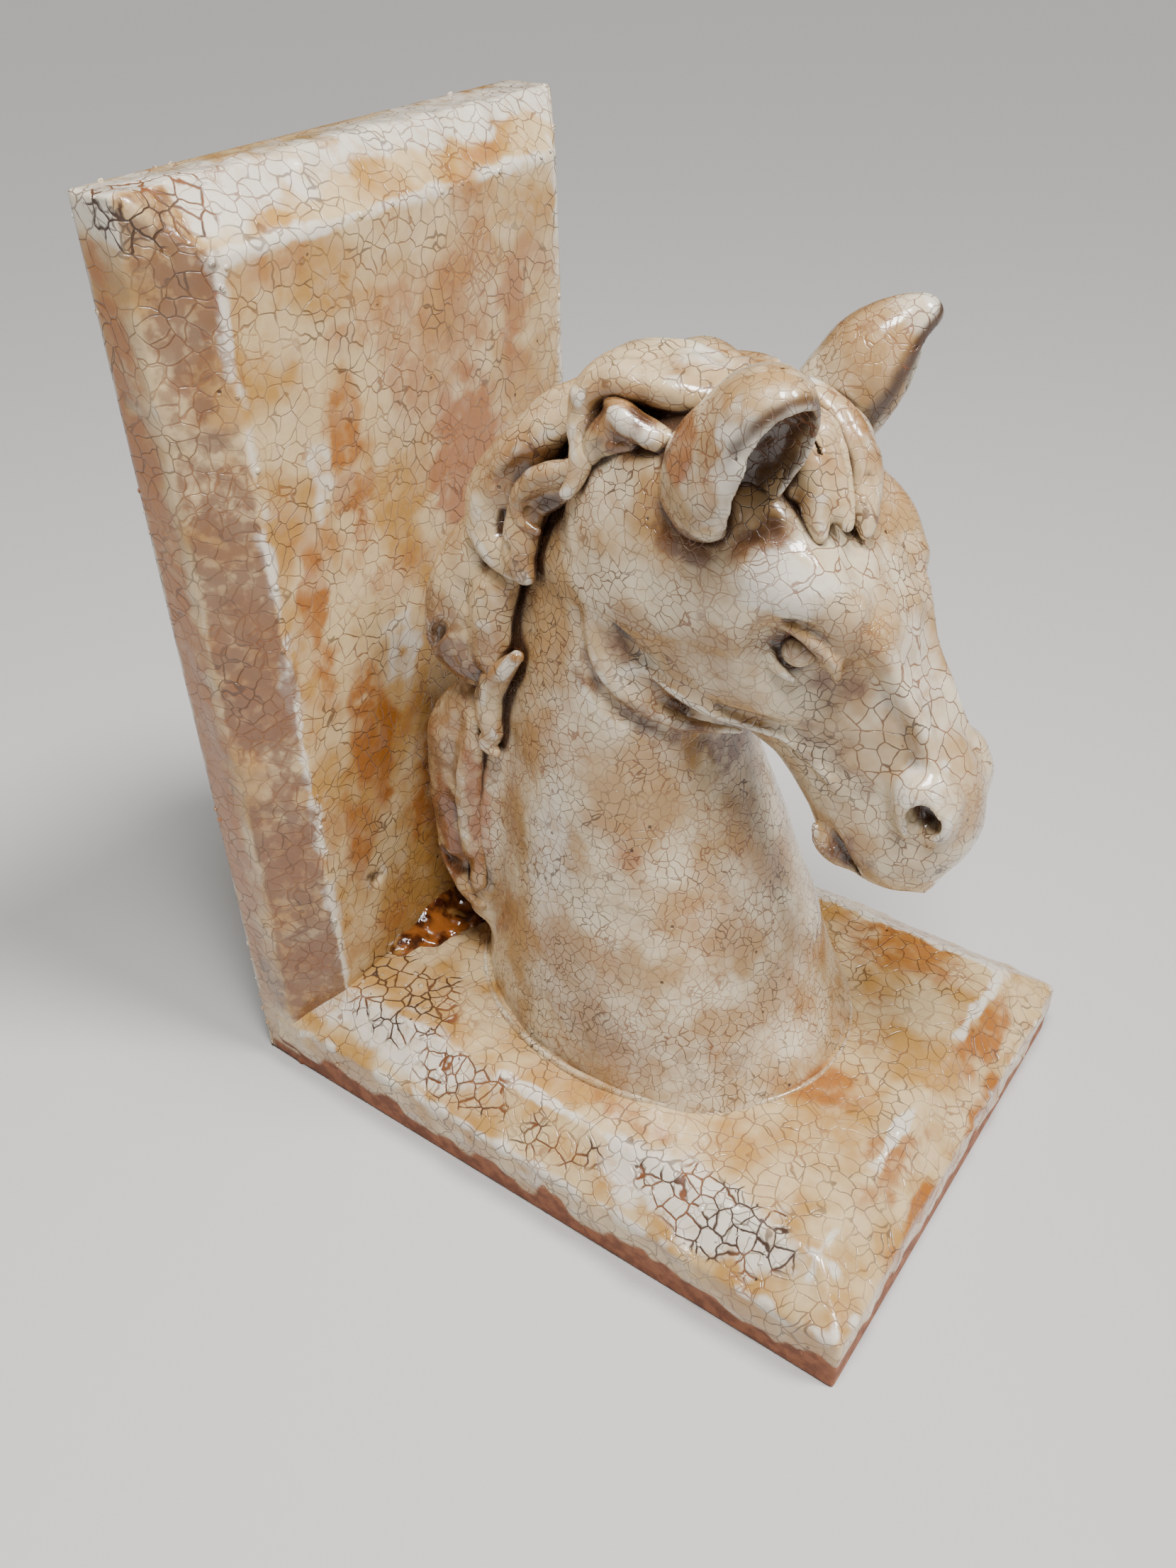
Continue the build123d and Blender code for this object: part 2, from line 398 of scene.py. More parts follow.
def model_back_slab(settings):
    rim, inset, edge = settings.back_rim, settings.inset, settings.edge
    rise = PANEL - rim
    planes = [
        ((0, 0, 0), (-1, 0, 0)), ((0, 0, 0), (0, 0, -1)), ((0, 0, HEIGHT), (0, 0, 1)),
        ((0, HALF_WIDTH, 0), (0, 1, 0)), ((0, -HALF_WIDTH, 0), (0, -1, 0)),
        ((PANEL, 0, 0), (1, 0, 0)), ((rim, 0, HEIGHT), (inset, 0, rise)),
        ((rim, HALF_WIDTH, 0), (inset, rise, 0)), ((rim, -HALF_WIDTH, 0), (inset, -rise, 0)),
    ]
    clay = Clay((-1.5, -HALF_WIDTH - 1.8, -1), (PANEL + 1.8, HALF_WIDTH + 1.8, HEIGHT + 1.8), settings.grain)
    clay.add((BACK_LOW, BACK_HIGH, faces(planes, edge)), 0)

    def glaze(points):
        front = fade(points[:, 0], 3.0, 8.0)
        top_edge = near_spot(points, (rim, 0, HEIGHT), (9, 90, 9))
        lumps = 0.45 * np.maximum(cloud(points, 5.5, 21), 0) * top_edge
        bevel = fade(points[:, 0], PANEL - 1, PANEL - 4) * 0.25 * cloud(points, 4.5, 24)
        return front * (0.5 * hand_made(points) + lumps + bevel)

    clay.dress(glaze)
    clay.cut(ball((PANEL, -32, 47), (2.2, 1.7, 1.6)), 0.6)
    clay.cut(under_floor(), 0)
    return clay


def model_base_slab(settings):
    rim, inset, edge = settings.base_rim, settings.inset, settings.edge
    rise = PLATFORM - rim
    planes = [
        ((0, 0, 0), (0, 0, -1)), ((6, 0, 0), (-1, 0, 0)), ((FRONT, 0, 0), (1, 0, 0)),
        ((0, HALF_WIDTH, 0), (0, 1, 0)), ((0, -HALF_WIDTH, 0), (0, -1, 0)),
        ((0, 0, PLATFORM), (0, 0, 1)), ((FRONT, 0, rim), (rise, 0, inset)),
        ((0, HALF_WIDTH, rim), (0, rise, inset)), ((0, -HALF_WIDTH, rim), (0, -rise, inset)),
    ]
    clay = Clay((4, -HALF_WIDTH - 1.8, -1), (FRONT + 1.8, HALF_WIDTH + 1.8, PLATFORM + 4),
                settings.grain * 0.86)
    clay.add(((6, -HALF_WIDTH, 0), (FRONT, HALF_WIDTH, PLATFORM), faces(planes, edge)), 0)

    def glaze(points):
        z = points[:, 2]
        above = fade(z, 3.5, 7.5 + 1.5 * cloud(points * (1, 1, 0), 9, 31))
        roll = 0.7 * np.maximum(cloud(points, 5, 35), 0) * fade(z, 5, 9) * (1 - fade(z, rim, rim + 4))
        ripple = 0.16 * cloud(points, 3.2, 36) * fade(z, rim - 2, rim + 1)
        return above * (0.3 + 0.5 * hand_made(points) + roll + ripple)

    clay.dress(glaze)
    clay.cut(under_floor(), 0)
    return clay


class BOOKEND_OT_slabs(bpy.types.Operator):
    """Model the back slab and the base slab, with their softened edges and the lumps and ripples of their
    glaze
    """
    bl_idname = "bookend.slabs"
    bl_label = "Slabs"

    def execute(self, context):
        settings = context.scene.bookend_slabs
        settle(skin("glazed_back_slab", model_back_slab(settings)), "slab_glaze", "back_slab")
        settle(skin("glazed_base_slab", model_base_slab(settings)), "slab_glaze", "base_slab")
        return {"FINISHED"}


# ---------------------------------------------------------------- horse
POLL = np.array((84.0, 0.0, 170.0))
DOWN_FACE = np.array((0.588, 0.0, -0.809))
OUT_OF_FACE = np.array((0.809, 0.0, 0.588))


def face(down, side, out):
    """A point of the head: down the face from the poll, to the side, and out of the forehead."""
    return POLL + DOWN_FACE * down + OUT_OF_FACE * out + np.array((0.0, side, 0.0))


def on_face(side, *points):
    """Points of the head given as down, side and out, on one side of it."""
    return [face(down, side * across, out) for down, across, out in points]


def mirrored(side, *points):
    """Points of the stand given for the horse's left, on one side of it."""
    return [(x, side * y, z) for x, y, z in points]


def neck_form():
    """The neck as upright stations: back and front edge, half width and how pinched the crest is."""
    heights = (18, 22, 31, 48, 62, 77, 90, 104, 120, 138, 150, 158, 166)
    back = smooth_curve(heights, (34, 34.5, 36, 38, 39.5, 41.5, 43.5, 45.5, 49, 55.5, 62, 69, 80))
    front = smooth_curve(heights, (127, 125, 119.5, 114, 108, 102, 96, 93, 94, 96, 97, 96, 94))
    half = smooth_curve(heights, (37, 36, 34.2, 31.5, 29, 26.7, 24.8, 23.0, 21.4, 19.4, 17, 14, 9))

    def distance(x, y, z):
        a, b, w = back(z), front(z), half(z)
        u = (x - (a + b) / 2) / ((b - a) / 2)
        v = y / (w * (1 + 0.10 * np.clip(u, -1, 1)))
        r = (np.abs(u) ** 2.15 + np.abs(v) ** 2.15) ** (1 / 2.15)
        side = (r - 1) * np.minimum(w, (b - a) / 2)
        return np.maximum(side, np.maximum(20 - z, z - 167)).astype(np.float32)

    return (30, -40, 18), (130, 40, 174), distance


def head_form():
    """The head as stations down the face: forehead line, jaw line and half width."""
    down = (-4, 4, 12, 26, 39, 50, 57, 64, 71, 80, 88, 95, 100, 104)
    brow = smooth_curve(down, (-10.5, -7.2, -3.4, 4.0, 13.6, 14.6, 13.0, 12.2, 12.2, 12.2, 11.6, 8.2, 3.5,
                               -5))
    jaw = smooth_curve(down, (-14, -20, -25, -29, -31, -30, -26, -23, -21.4, -21.6, -22.6, -19.8, -15, -8))
    half = smooth_curve(down, (9, 14, 16.5, 18.3, 17.9, 16.0, 14.2, 12.2, 10.4, 9.6, 10.6, 11.2, 9.2, 4.5))
    lean = smooth_curve(down, (-0.3, -0.3, -0.28, -0.2, -0.12, -0.1, -0.14, -0.2, -0.2, -0.14, -0.02, 0.04, 0,
                               0))

    def distance(x, y, z):
        px, pz = x - POLL[0], z - POLL[2]
        s = px * DOWN_FACE[0] + pz * DOWN_FACE[2]
        d = px * OUT_OF_FACE[0] + pz * OUT_OF_FACE[2]
        s_in = np.clip(s, down[0], down[-1])
        top, low, w = brow(s_in), jaw(s_in), half(s_in)
        u = (d - (top + low) / 2) / ((top - low) / 2)
        v = y / (w * (1 + lean(s_in) * np.clip(u, -1, 1)))
        r = (np.abs(u) ** 2.35 + np.abs(v) ** 2.35) ** (1 / 2.35)
        side = (r - 1) * np.minimum(w, (top - low) / 2)
        return np.maximum(side, np.maximum(down[0] - s, s - down[-1])).astype(np.float32)

    return (60, -24, 70), (152, 24, 185), distance


def rim_softness(x, y, z):
    """Crisp where the cheek stands over the neck, and soft up by the ear and under the poll."""
    return (0.8 + 14 * fade(z, 119, 136) + 0 * x + 0 * y).astype(np.float32)


def model_horse(settings):
    low, high = (30, -40, 19), (152, 40, 182)
    neck = Clay(low, high, settings.grain)
    clay = Clay(low, high, settings.grain)
    grid = np.ix_(*clay.axes)
    neck.field = neck_form()[2](*grid)
    neck.even_out()
    model_neck(neck)
    clay.field = head_form()[2](*grid)
    clay.even_out()
    model_cheeks(clay)
    clay.field = soft_min(clay.field, neck.field, rim_softness(*grid))
    for side in (-1, 1):
        model_jaw_line(clay, side)
        model_eye_socket(clay, side)
        model_muzzle(clay, side)
    model_bridge(clay)
    clay.dress(lambda points: 0.28 * cloud(points, 11, 41) + 0.10 * cloud(points, 4, 42))
    return clay


def model_cheeks(clay):
    """The round cheek plates and the temples, before the head is joined to the neck."""
    for side in (-1, 1):
        clay.add(ball(face(38.5, side * 12.2, -10.5), (20.5, 22.5, 8.6), DOWN_FACE, OUT_OF_FACE), 5)
        clay.add(ball(face(26, side * 10, -1), (19, 10.5, 8.5), DOWN_FACE, OUT_OF_FACE), 8)


def model_neck(clay):
    """The shallow groove of the gullet, and the root that the mane is laid on."""
    for side in (-1, 1):
        clay.press(mirrored(side, (99, 18, 104), (96, 25, 90), (98, 31, 70), (102, 35, 54)),
                   [2.6, 3.0, 2.6, 1.0], 5.5)
        clay.roll(mirrored(side, (62, 9, 134), (54, 11, 118), (50, 12, 100), (46, 14, 80), (43, 16, 60),
                           (41, 18, 40)), [3, 4.5, 5, 5, 4.5, 3.5], 5)


def model_jaw_line(clay, side):
    """The raised rear edge of the cheek, the groove inside it and the ridge that runs on to the mouth."""
    edge = mirrored(side, (75, 20, 131), (76, 20.7, 124), (79.5, 20.6, 117.5), (84, 19, 112.5),
                    (90, 15.5, 108.5), (96, 11, 106.5), (101, 8, 106))
    clay.roll(edge, [0.8, 1.5, 1.9, 1.9, 1.7, 1.3, 0.8], 1.6)
    behind = mirrored(side, (73, 21.4, 129), (74, 22.2, 122.5), (77.4, 22.2, 115), (82.4, 20.4, 109.6),
                      (89, 16.6, 105.4), (96, 12, 103))
    clay.press(behind, [0.3, 1.2, 1.5, 1.6, 1.5, 0.6], 2.0)
    groove = mirrored(side, (80.5, 20.8, 130.5), (83, 20.4, 126), (87, 20.2, 121.5), (92, 19.8, 118.8))
    clay.press(groove, [0.5, 1.5, 1.3, 0.4], 1.8)
    ridge = on_face(side, (40, 18.6, -29), (46, 18.6, -25), (51, 18.0, -21), (57, 16, -15.5),
                    (63, 13.6, -11.5), (70, 11.2, -9.5), (77, 9.8, -9))
    clay.roll(ridge, [0.4, 0.9, 1.1, 1.2, 1.2, 1.0, 0.4], 2.4)
    under = on_face(side, (53, 18.0, -17.2), (59, 15.6, -11.8), (66, 12.8, -8.2), (73, 11.0, -6.8))
    clay.press(under, [0.6, 1.3, 1.2, 0.5], 2.4)


def model_eye_socket(clay, side):
    """Brow, socket, the fold of the upper lid and the line of the lower one."""
    clay.roll(on_face(side, (26, 18.0, -1), (32, 17.0, 4.6), (39, 15.0, 9.4), (46, 12.2, 12.8)),
              [2.2, 3.8, 4.6, 3.2], 4)
    clay.cut(ball(face(50, side * 20.5, 2.5), (8.0, 6.5, 5.4), DOWN_FACE, OUT_OF_FACE), 4)
    clay.cut(ball(face(62, side * 18.5, 1.0), (12, 6.0, 6.4), DOWN_FACE, OUT_OF_FACE), 6)
    lid = on_face(side, (39.5, 18.6, 1.6), (43, 18.4, 5.4), (47.5, 17.2, 7.4), (52.5, 15.2, 7.4),
                  (56.5, 13.4, 5.6))
    clay.roll(lid, [0.5, 1.0, 1.25, 1.1, 0.5], 1.2)
    fold = on_face(side, (40, 19.2, 4.0), (44, 18.6, 8.0), (49, 16.6, 9.6), (54, 14.4, 8.8))
    clay.press(fold, [0.3, 0.6, 0.6, 0.3], 0.9)
    lower = on_face(side, (46, 17.4, -1.4), (49.5, 17.0, -2.0), (53, 16.0, -0.8))
    clay.roll(lower, [0.4, 0.8, 0.4], 0.8)


def model_bridge(clay):
    """The broad flat bridge of the nose, with its two edges."""
    for side in (-1, 1):
        edge = on_face(side, (52, 9.5, 13.4), (62, 7.0, 11.4), (72, 6.2, 10.8), (82, 7.0, 9.4))
        clay.roll(edge, [1.4, 1.7, 1.5, 0.3], 3.5)
    clay.cut(ball(face(55, 0, 20), (16, 5, 4), DOWN_FACE, (0, 1, 0)), 4)


def model_muzzle(clay, side):
    """The flared nostril, the upper lip and the slit of the mouth over its thin lower lip."""
    clay.add(ball(face(85, side * 8.6, 5.5), (7.0, 5.6, 4.4), DOWN_FACE, OUT_OF_FACE), 4)
    rim = on_face(side, (88.5, 10.6, 1.6), (84, 11.2, 3.4), (81.4, 10.0, 6.6), (83, 8.0, 9.6),
                  (86.5, 7.0, 10.4))
    clay.roll(rim, [1.2, 1.9, 2.2, 1.9, 1.0], 1.8)
    clay.cut(ball(face(86.4, side * 10.6, 6.0), (3.6, 2.8, 3.6), DOWN_FACE, OUT_OF_FACE), 1.0)
    clay.press(on_face(side, (88, 11.4, 4.2), (92, 11.4, 0.8)), [1.6, 0.6], 1.6)
    clay.roll(on_face(side, (84, 8.6, -18.6), (88, 8.4, -19.0), (92, 7.4, -18.4), (96, 4.4, -16.4)),
              [0.8, 1.6, 1.6, 1.2], 1.2)
    clay.press(on_face(side, (84, 9.8, -15.4), (88, 9.6, -15.8), (92, 8.8, -14.9), (96.5, 5.6, -13.4),
                       (99.5, 0, -12.0)), [0.9, 2.0, 1.9, 1.4, 1.0], 0.6)
    clay.press(on_face(side, (81, 10.2, -15.6), (77, 10.8, -13.0)), [0.7, 0.2], 1.6)


class BOOKEND_OT_horse(bpy.types.Operator):
    """Model the horse's head and neck as the one smooth skin that the two castings have when luted"""
    bl_idname = "bookend.horse"
    bl_label = "Head and neck"

    def execute(self, context):
        clay = model_horse(context.scene.bookend_horse)
        settle(skin("glazed_head_and_neck", clay), "horse_glaze", "head_casting", "neck_casting")
        return {"FINISHED"}


# ---------------------------------------------------------------- ears and eyes
EAR_FOOT = {-1: (98.5, -17.0, 157.5), 1: (101.0, 18.6, 157.5)}
EAR_TIP = {-1: (113.0, -23.0, 180.5), 1: (112.8, 22.4, 180.0)}
EAR_MOUTH = np.array((0.85, 0.38, -0.30))


def ear_point(side):
    """Turns up the ear, out of its mouth and across it, all in millimetres, into a point on the stand."""
    foot, tip = np.array(EAR_FOOT[side]), np.array(EAR_TIP[side])
    up = (tip - foot) / np.linalg.norm(tip - foot)
    mouth = EAR_MOUTH * (1, side, 1)
    out = mouth - up * (up @ mouth)
    out /= np.linalg.norm(out)
    across = np.cross(up, out) * side
    return lambda a, b, c=0.0: foot + up * a + out * b + across * c


def model_ear(side, settings):
    """A fleshy ear: a round bulging root, a deep smooth hollow and a thick rim that curls over at the tip."""
    at = ear_point(side)
    middle = at(11, 0)
    clay = Clay(middle - (26, 22, 24), middle + (24, 22, 24), settings.fine_grain)
    full, top = (1.0, 1.0) if side < 0 else (0.94, 0.76)
    clay.roll([at(-5, -2), at(0, -1.6), at(7, -0.8), at(14, 0), at(20, 0.6), at(24, 2.0)],
              [5.5 * full, 8.8 * full, 9.8 * full, 9.4 * full, 8.0 * top, 5.0 * top], 0)
    clay.roll([at(-3, 3, 3), at(3, 5.5, 5.5), at(9, 5.5, 6.5), at(15, 4.5, 5.5)], [2.5, 3.2, 2.8, 1.5], 4)
    clay.press([at(0, 10, -0.5), at(5, 7.6), at(10, 6.0), at(15, 5.4), at(20, 5.6), at(24, 7.6)],
               [1.6, 4.4, 6.3 * full, 6.5 * full, 5.8 * top, 3.8 * top], 1.2)
    clay.press([at(-1, 11, -1), at(4, 6.0, -0.5), at(8, 2.4), at(14, 1.2), at(19, 2.0)],
               [1.0, 2.6, 3.2, 2.8, 2.0], 2.5)
    clay.roll([at(4, 3.0, 2.2), at(9, 0.0, 1.6), at(15, -0.8, 0.4)], [0.5, 0.9, 0.5], 1.0)
    clay.dress(lambda points: 0.22 * cloud(points, 7, 51 + side) + 0.06 * cloud(points, 2.5, 53))
    return clay


def model_eye(side, settings):
    """The eyeball, low in its socket, with a shallow pupil."""
    centre = face(48.6, side * 14.6, 2.6)
    clay = Clay(centre - 7, centre + 7, settings.fine_grain)
    clay.add(ball(centre, (3.3, 3.3, 3.3)), 0)
    clay.cut(ball(centre + (0.6, side * 3.6, 0.4), (1.2, 0.7, 1.2)), 0.8)
    return clay


class BOOKEND_OT_features(bpy.types.Operator):
    """Model the two ears and the two eyeballs, each luted on by itself"""
    bl_idname = "bookend.features"
    bl_label = "Ears and eyes"

    def execute(self, context):
        settings = context.scene.bookend_horse
        for side, name in ((-1, "right"), (1, "left")):
            settle(skin(f"glazed_{name}_ear", model_ear(side, settings)), "horse_glaze", f"{name}_ear")
            settle(skin(f"glazed_{name}_eye", model_eye(side, settings)), "horse_glaze", f"{name}_eye")
        return {"FINISHED"}


# ---------------------------------------------------------------- mane
# Each lock is rolls of clay laid together, then folds pressed into it: points, radii and softness of each.
LOCKS = {
    "mane_crest": (
        [([(101, 0, 162), (93, 0, 164), (84, 2, 165.5), (74, 3, 161.5), (64, 4, 153), (55, 4, 141),
           (46, 3, 124),
           (41, 2, 104), (36, 1, 84), (34, 0, 62), (34, 0, 44)], [3, 5, 6.5, 8, 8.5, 8, 8.5, 8, 7, 7, 5], 0)],
        [([(96, -4, 174), (86, -5, 177), (76, -6, 173)], [0.6, 1.4, 0.6], 2),
         ([(95, 4, 173), (84, 6, 176), (72, 8, 171)], [0.5, 1.3, 0.5], 2)],
    ),
    "poll_lock": (
        [([(98, -3, 167), (91, -6, 168.8), (83, -7.5, 169.4), (76, -9, 169.4), (72, -12, 167.2),
           (71.6, -15.6, 163.5),
           (73, -18.2, 159.5), (72.4, -20, 155), (70.8, -21, 152)],
           [3.5, 5.0, 5.6, 5.4, 4.4, 3.0, 2.3, 1.7, 1.0], 0),
         ([(96, -9, 169), (89, -12, 170), (81, -13.6, 171.2), (75, -15, 170.6), (72, -16.6, 168)],
          [2.0, 2.8, 2.9, 2.5, 1.7], 2.5),
         ([(97, -1, 170.4), (94, -2, 171.6), (90, -3, 171)], [1.6, 2.4, 1.6], 1.5),
         ([(88, -2, 172.6), (84, -3, 173.4), (78, -5, 173), (72, -8, 170.5)], [1.6, 2.4, 2.4, 1.5], 2)],
        [([(92, -19, 164.4), (86, -19, 166.2), (80, -18.8, 167.2), (76, -19.2, 166), (75, -20, 161)],
          [1.0, 2.3, 2.7, 2.5, 1.6], 1.2),
         ([(86, -10.6, 176), (79, -12, 175.4), (73, -14, 171.6)], [0.4, 0.9, 0.4], 1.5)],
    ),
    "poll_tuft": (
        [([(77.5, -15.5, 167.5), (81, -17.2, 166), (86, -16.8, 164.2), (89, -15, 163.4)],
          [1.8, 2.7, 2.5, 1.4], 0),
         ([(73.5, -18, 157), (75.5, -18, 161.5), (78, -16.8, 164.2), (81, -15.5, 164)], [1.4, 2.3, 2.2, 1.6],
          1.6),
         ([(78, -17.6, 161.2), (82, -17.0, 161.6)], [1.4, 1.2], 1.5)],
        [([(75, -20.6, 158.4), (78.5, -20.0, 162.2), (83.5, -19.6, 163.0)], [0.4, 0.9, 0.6], 0.8),
         ([(77, -21, 157.5), (78.2, -20, 159.4)], [0.9, 0.7], 0.8)],
    ),
    "curl_lock": (
        [([(70.2, -5, 164), (63.2, -8, 160.5), (57.2, -11, 154.5), (51.7, -13, 148.5), (48.2, -14.5, 142.5),
           (48.2, -16, 137.5),
           (51.2, -17.5, 134), (55.7, -18.4, 132)], [4.0, 5.4, 5.6, 5.4, 4.8, 4.0, 3.2, 2.2], 0),
         ([(61.2, -14.5, 148.5), (58.2, -16, 142), (57.7, -18, 136), (59.2, -18.8, 132)],
          [3.0, 3.6, 3.2, 2.0], 2.5),
         ([(67.2, -12, 161), (60.2, -14, 157), (53.2, -16, 151)], [2.0, 2.4, 1.6], 2)],
        [([(68.2, -17.5, 158.2), (62.2, -17.8, 154.4), (56.7, -18.2, 150.4), (53.8, -19, 145.5)],
          [0.7, 1.6, 2.2, 1.0], 1.2),
         ([(54.6, -20.4, 147.2), (53.8, -20.6, 141), (55.7, -21.4, 136.4)], [1.4, 0.9, 0.5], 1.4),
         ([(56.6, -20.6, 137.2), (57, -21, 135.4)], [0.9, 0.4], 1.0)],
    ),
    "inner_curl": (
        [([(74.1, -18, 158.5), (70.6, -19.4, 155.5), (65.6, -19.4, 153), (60.6, -18.4, 149.5),
           (58, -18.2, 145.5),
           (58.8, -18.6, 142.6), (62.1, -18.6, 141.4)], [1.5, 2.2, 2.5, 2.5, 2.0, 1.7, 1.3], 0),
         ([(66.6, -16.5, 150), (62.6, -16.5, 146)], [3.0, 2.4], 2)],
        [([(69.1, -20.2, 150), (65.6, -20.6, 148.4), (62.6, -20.8, 146.4), (61.2, -21, 144.6)],
          [1.6, 2.2, 2.2, 1.0], 0.9),
         ([(70.6, -21.8, 154.6), (66.1, -22.2, 151.8), (62.1, -21.6, 148.6)], [0.4, 0.7, 0.3], 0.8)],
    ),
    "full_lock": (
        [([(55, -10, 141), (49, -11.5, 136), (43, -12.5, 129.5), (39.5, -13, 121.5), (39, -14.5, 113.5),
           (42, -15.6, 107.4),
           (46, -16.4, 105)], [4.0, 5.2, 6.8, 8.0, 8.2, 6.2, 3.2], 0),
         ([(53, -15, 130), (49.5, -17, 122), (49, -18, 114), (51, -19, 108)], [3.2, 4.6, 4.4, 2.6], 3),
         ([(34.5, -13, 117), (36, -15.5, 110), (40, -17.6, 105.2)], [2.5, 3.0, 2.0], 2)],
        [([(41, -22.6, 117), (37.6, -21.4, 113.4), (36.4, -21, 109.6)], [0.8, 1.5, 0.9], 1.8),
         ([(41.5, -23.4, 112), (42.5, -23.2, 106.6), (46.5, -23, 104)], [0.8, 1.4, 0.9], 1.6),
         ([(53.4, -21.8, 126), (54.6, -23, 117), (54, -23, 110.6)], [0.5, 1.0, 0.7], 1.6)],
    ),
    "small_curl": (
        [([(56.9, -20, 113.5), (51.9, -19.4, 108), (48.4, -18.6, 101.5), (47.8, -18.8, 96.5),
           (49, -19.4, 92.4),
           (47.6, -19.8, 89.6), (49.9, -20.4, 88)], [1.6, 2.8, 3.6, 3.2, 2.4, 2.0, 1.2], 0)],
        [([(55.4, -22.8, 108.5), (52.2, -22.8, 103.2), (50.8, -22.8, 98.6)], [0.6, 1.5, 1.0], 1.2),
         ([(50.6, -22.4, 93.6), (49.8, -22.2, 91.2)], [0.6, 0.8], 0.8)],
    ),
    "long_lock": (
        [([(45, -13, 101), (39.5, -13.6, 95), (34, -13.6, 86), (32, -13.4, 76), (31.6, -13.6, 66),
           (32.2, -14, 57),
           (33.4, -15.6, 50), (37, -18, 44), (42, -20.5, 42)], [3.4, 5.0, 6.2, 6.4, 6.2, 5.8, 5.0, 3.6, 2.0],
           0),
         ([(43, -17.5, 92), (41, -18, 80), (40.4, -18.4, 68), (41, -19, 58), (42.5, -20.4, 49)],
          [2.4, 3.8, 4.0, 3.6, 2.4], 3)],
        [([(40.4, -20.8, 92), (37.2, -20.6, 80), (37, -20.8, 66)], [0.5, 1.1, 0.5], 1.6),
         ([(29.6, -19.6, 52.6), (33.2, -20.8, 50.2), (37.6, -22.4, 51.4), (41.6, -23.6, 56.4)],
          [1.0, 2.0, 2.2, 0.9], 1.4),
         ([(34.8, -22, 46.6), (38.4, -23, 46.8)], [0.6, 0.9], 1.0)],
    ),
    "left_upper_lock": (
        [([(86, 8, 168), (78, 11, 166), (70, 13, 161), (62, 15, 152), (57, 16, 143), (54, 17, 133),
           (56, 18, 125)],
          [3.0, 5.0, 6.0, 6.2, 5.8, 4.8, 2.0], 0),
         ([(76, 15, 160), (68, 18, 152), (63, 19, 142), (62, 19.5, 133)], [2.0, 3.0, 3.2, 2.0], 2.5)],
        [([(74, 20, 162), (65, 21.6, 152), (59, 22, 142), (57.4, 22.4, 132)], [0.6, 1.5, 1.5, 0.6], 1.5)],
    ),
    "left_middle_lock": (
        [([(54, 11, 135), (47, 13, 126), (42.5, 14, 116), (41, 15, 106), (43, 16, 98), (46, 17, 94)],
          [3.4, 5.6, 6.8, 6.4, 4.4, 2.0], 0),
         ([(54, 17, 124), (50, 18, 114), (49, 18.6, 104)], [2.2, 3.2, 2.0], 2.5)],
        [([(48, 21, 124), (45, 21.6, 113), (45.6, 21.6, 103)], [0.5, 1.5, 0.6], 1.5)],
    ),
    "left_lower_lock": (
        [([(43, 11, 97), (36, 12, 88), (33.4, 12.6, 76), (33.6, 13, 64), (35, 14, 54), (39, 16, 46)],
          [3.4, 5.2, 6.2, 6.0, 5.0, 2.0], 0),
         ([(42, 17, 86), (40, 18, 74), (40.4, 18.6, 62)], [2.0, 3.2, 2.2], 2.5)],
        [([(38, 19.6, 88), (36, 20, 75), (37, 20.6, 62)], [0.5, 1.4, 0.6], 1.5)],
    ),
    "right_forelock": (
        [([(97, -2, 170), (103, -5, 167.6), (108.5, -7.5, 164), (112, -9, 159.6), (113.6, -11, 155.6),
           (115.5, -12.6, 152.4)],
          [2.4, 3.6, 3.8, 3.4, 2.6, 1.3], 0),
         ([(104, -2, 167.5), (109.5, -3.5, 165.2), (113, -5, 161), (116, -7, 156.6), (118.4, -9, 153.4)],
          [2.2, 3.0, 3.0, 2.4, 1.1], 2),
         ([(107, -10, 161.5), (109.5, -11.6, 158)], [1.6, 1.4], 1.5)],
        [([(106, -7.6, 168.6), (111, -8.6, 163.6), (114.6, -10.4, 157.4)], [0.4, 1.0, 0.5], 1.2),
         ([(111, -2, 167.8), (115.4, -4.2, 162.6), (118.6, -7.4, 156)], [0.4, 0.8, 0.4], 1.0)],
    ),
    "left_forelock": (
        [([(100, 3, 169), (106, 2.6, 167.4), (111.4, 2.2, 163.8), (115.6, 1.2, 158.4), (118, -1.6, 153.6),
           (119.6, -4, 150.4)],
          [2.6, 3.6, 3.8, 3.4, 2.6, 1.4], 0),
         ([(104, 7, 166), (110, 7, 162.4), (113.4, 6.2, 158), (115.4, 5, 154.6)], [2.4, 3.4, 3.0, 1.6], 2)],
        [([(108, 4.6, 168.4), (113.6, 4.6, 163.2), (117, 3.6, 157.2)], [0.4, 1.0, 0.5], 1.2),
         ([(117.6, -1.2, 159), (120.2, -3.6, 154.4)], [0.4, 0.5], 0.8)],
    ),
}


def model_lock(rolls, folds, grain, seed):
    """One lock of hair from its rolls of clay and the folds pressed into them."""
    ends = np.array([point for path, radii, softness in rolls for point in path])
    widest = max(max(radii) for path, radii, softness in rolls)
    clay = Clay(ends.min(0) - widest - 2, ends.max(0) + widest + 2, grain)
    for roll in rolls:
        clay.roll(*roll)
    for fold in folds:
        clay.press(*fold)
    clay.dress(lambda points: 0.30 * cloud(points, 6, seed) + 0.12 * cloud(points, 2.6, seed + 1))
    return clay


class BOOKEND_OT_mane(bpy.types.Operator):
    """Model the mane's locks and the forelocks: rolls of clay laid together, with folds pressed in"""
    bl_idname = "bookend.mane"
    bl_label = "Mane"

    def execute(self, context):
        grain = context.scene.bookend_horse.fine_grain
        for seed, (name, (rolls, folds)) in enumerate(LOCKS.items()):
            settle(skin(f"glazed_{name}", model_lock(rolls, folds, grain, 60 + 3 * seed)), "mane_glaze", name)
        return {"FINISHED"}
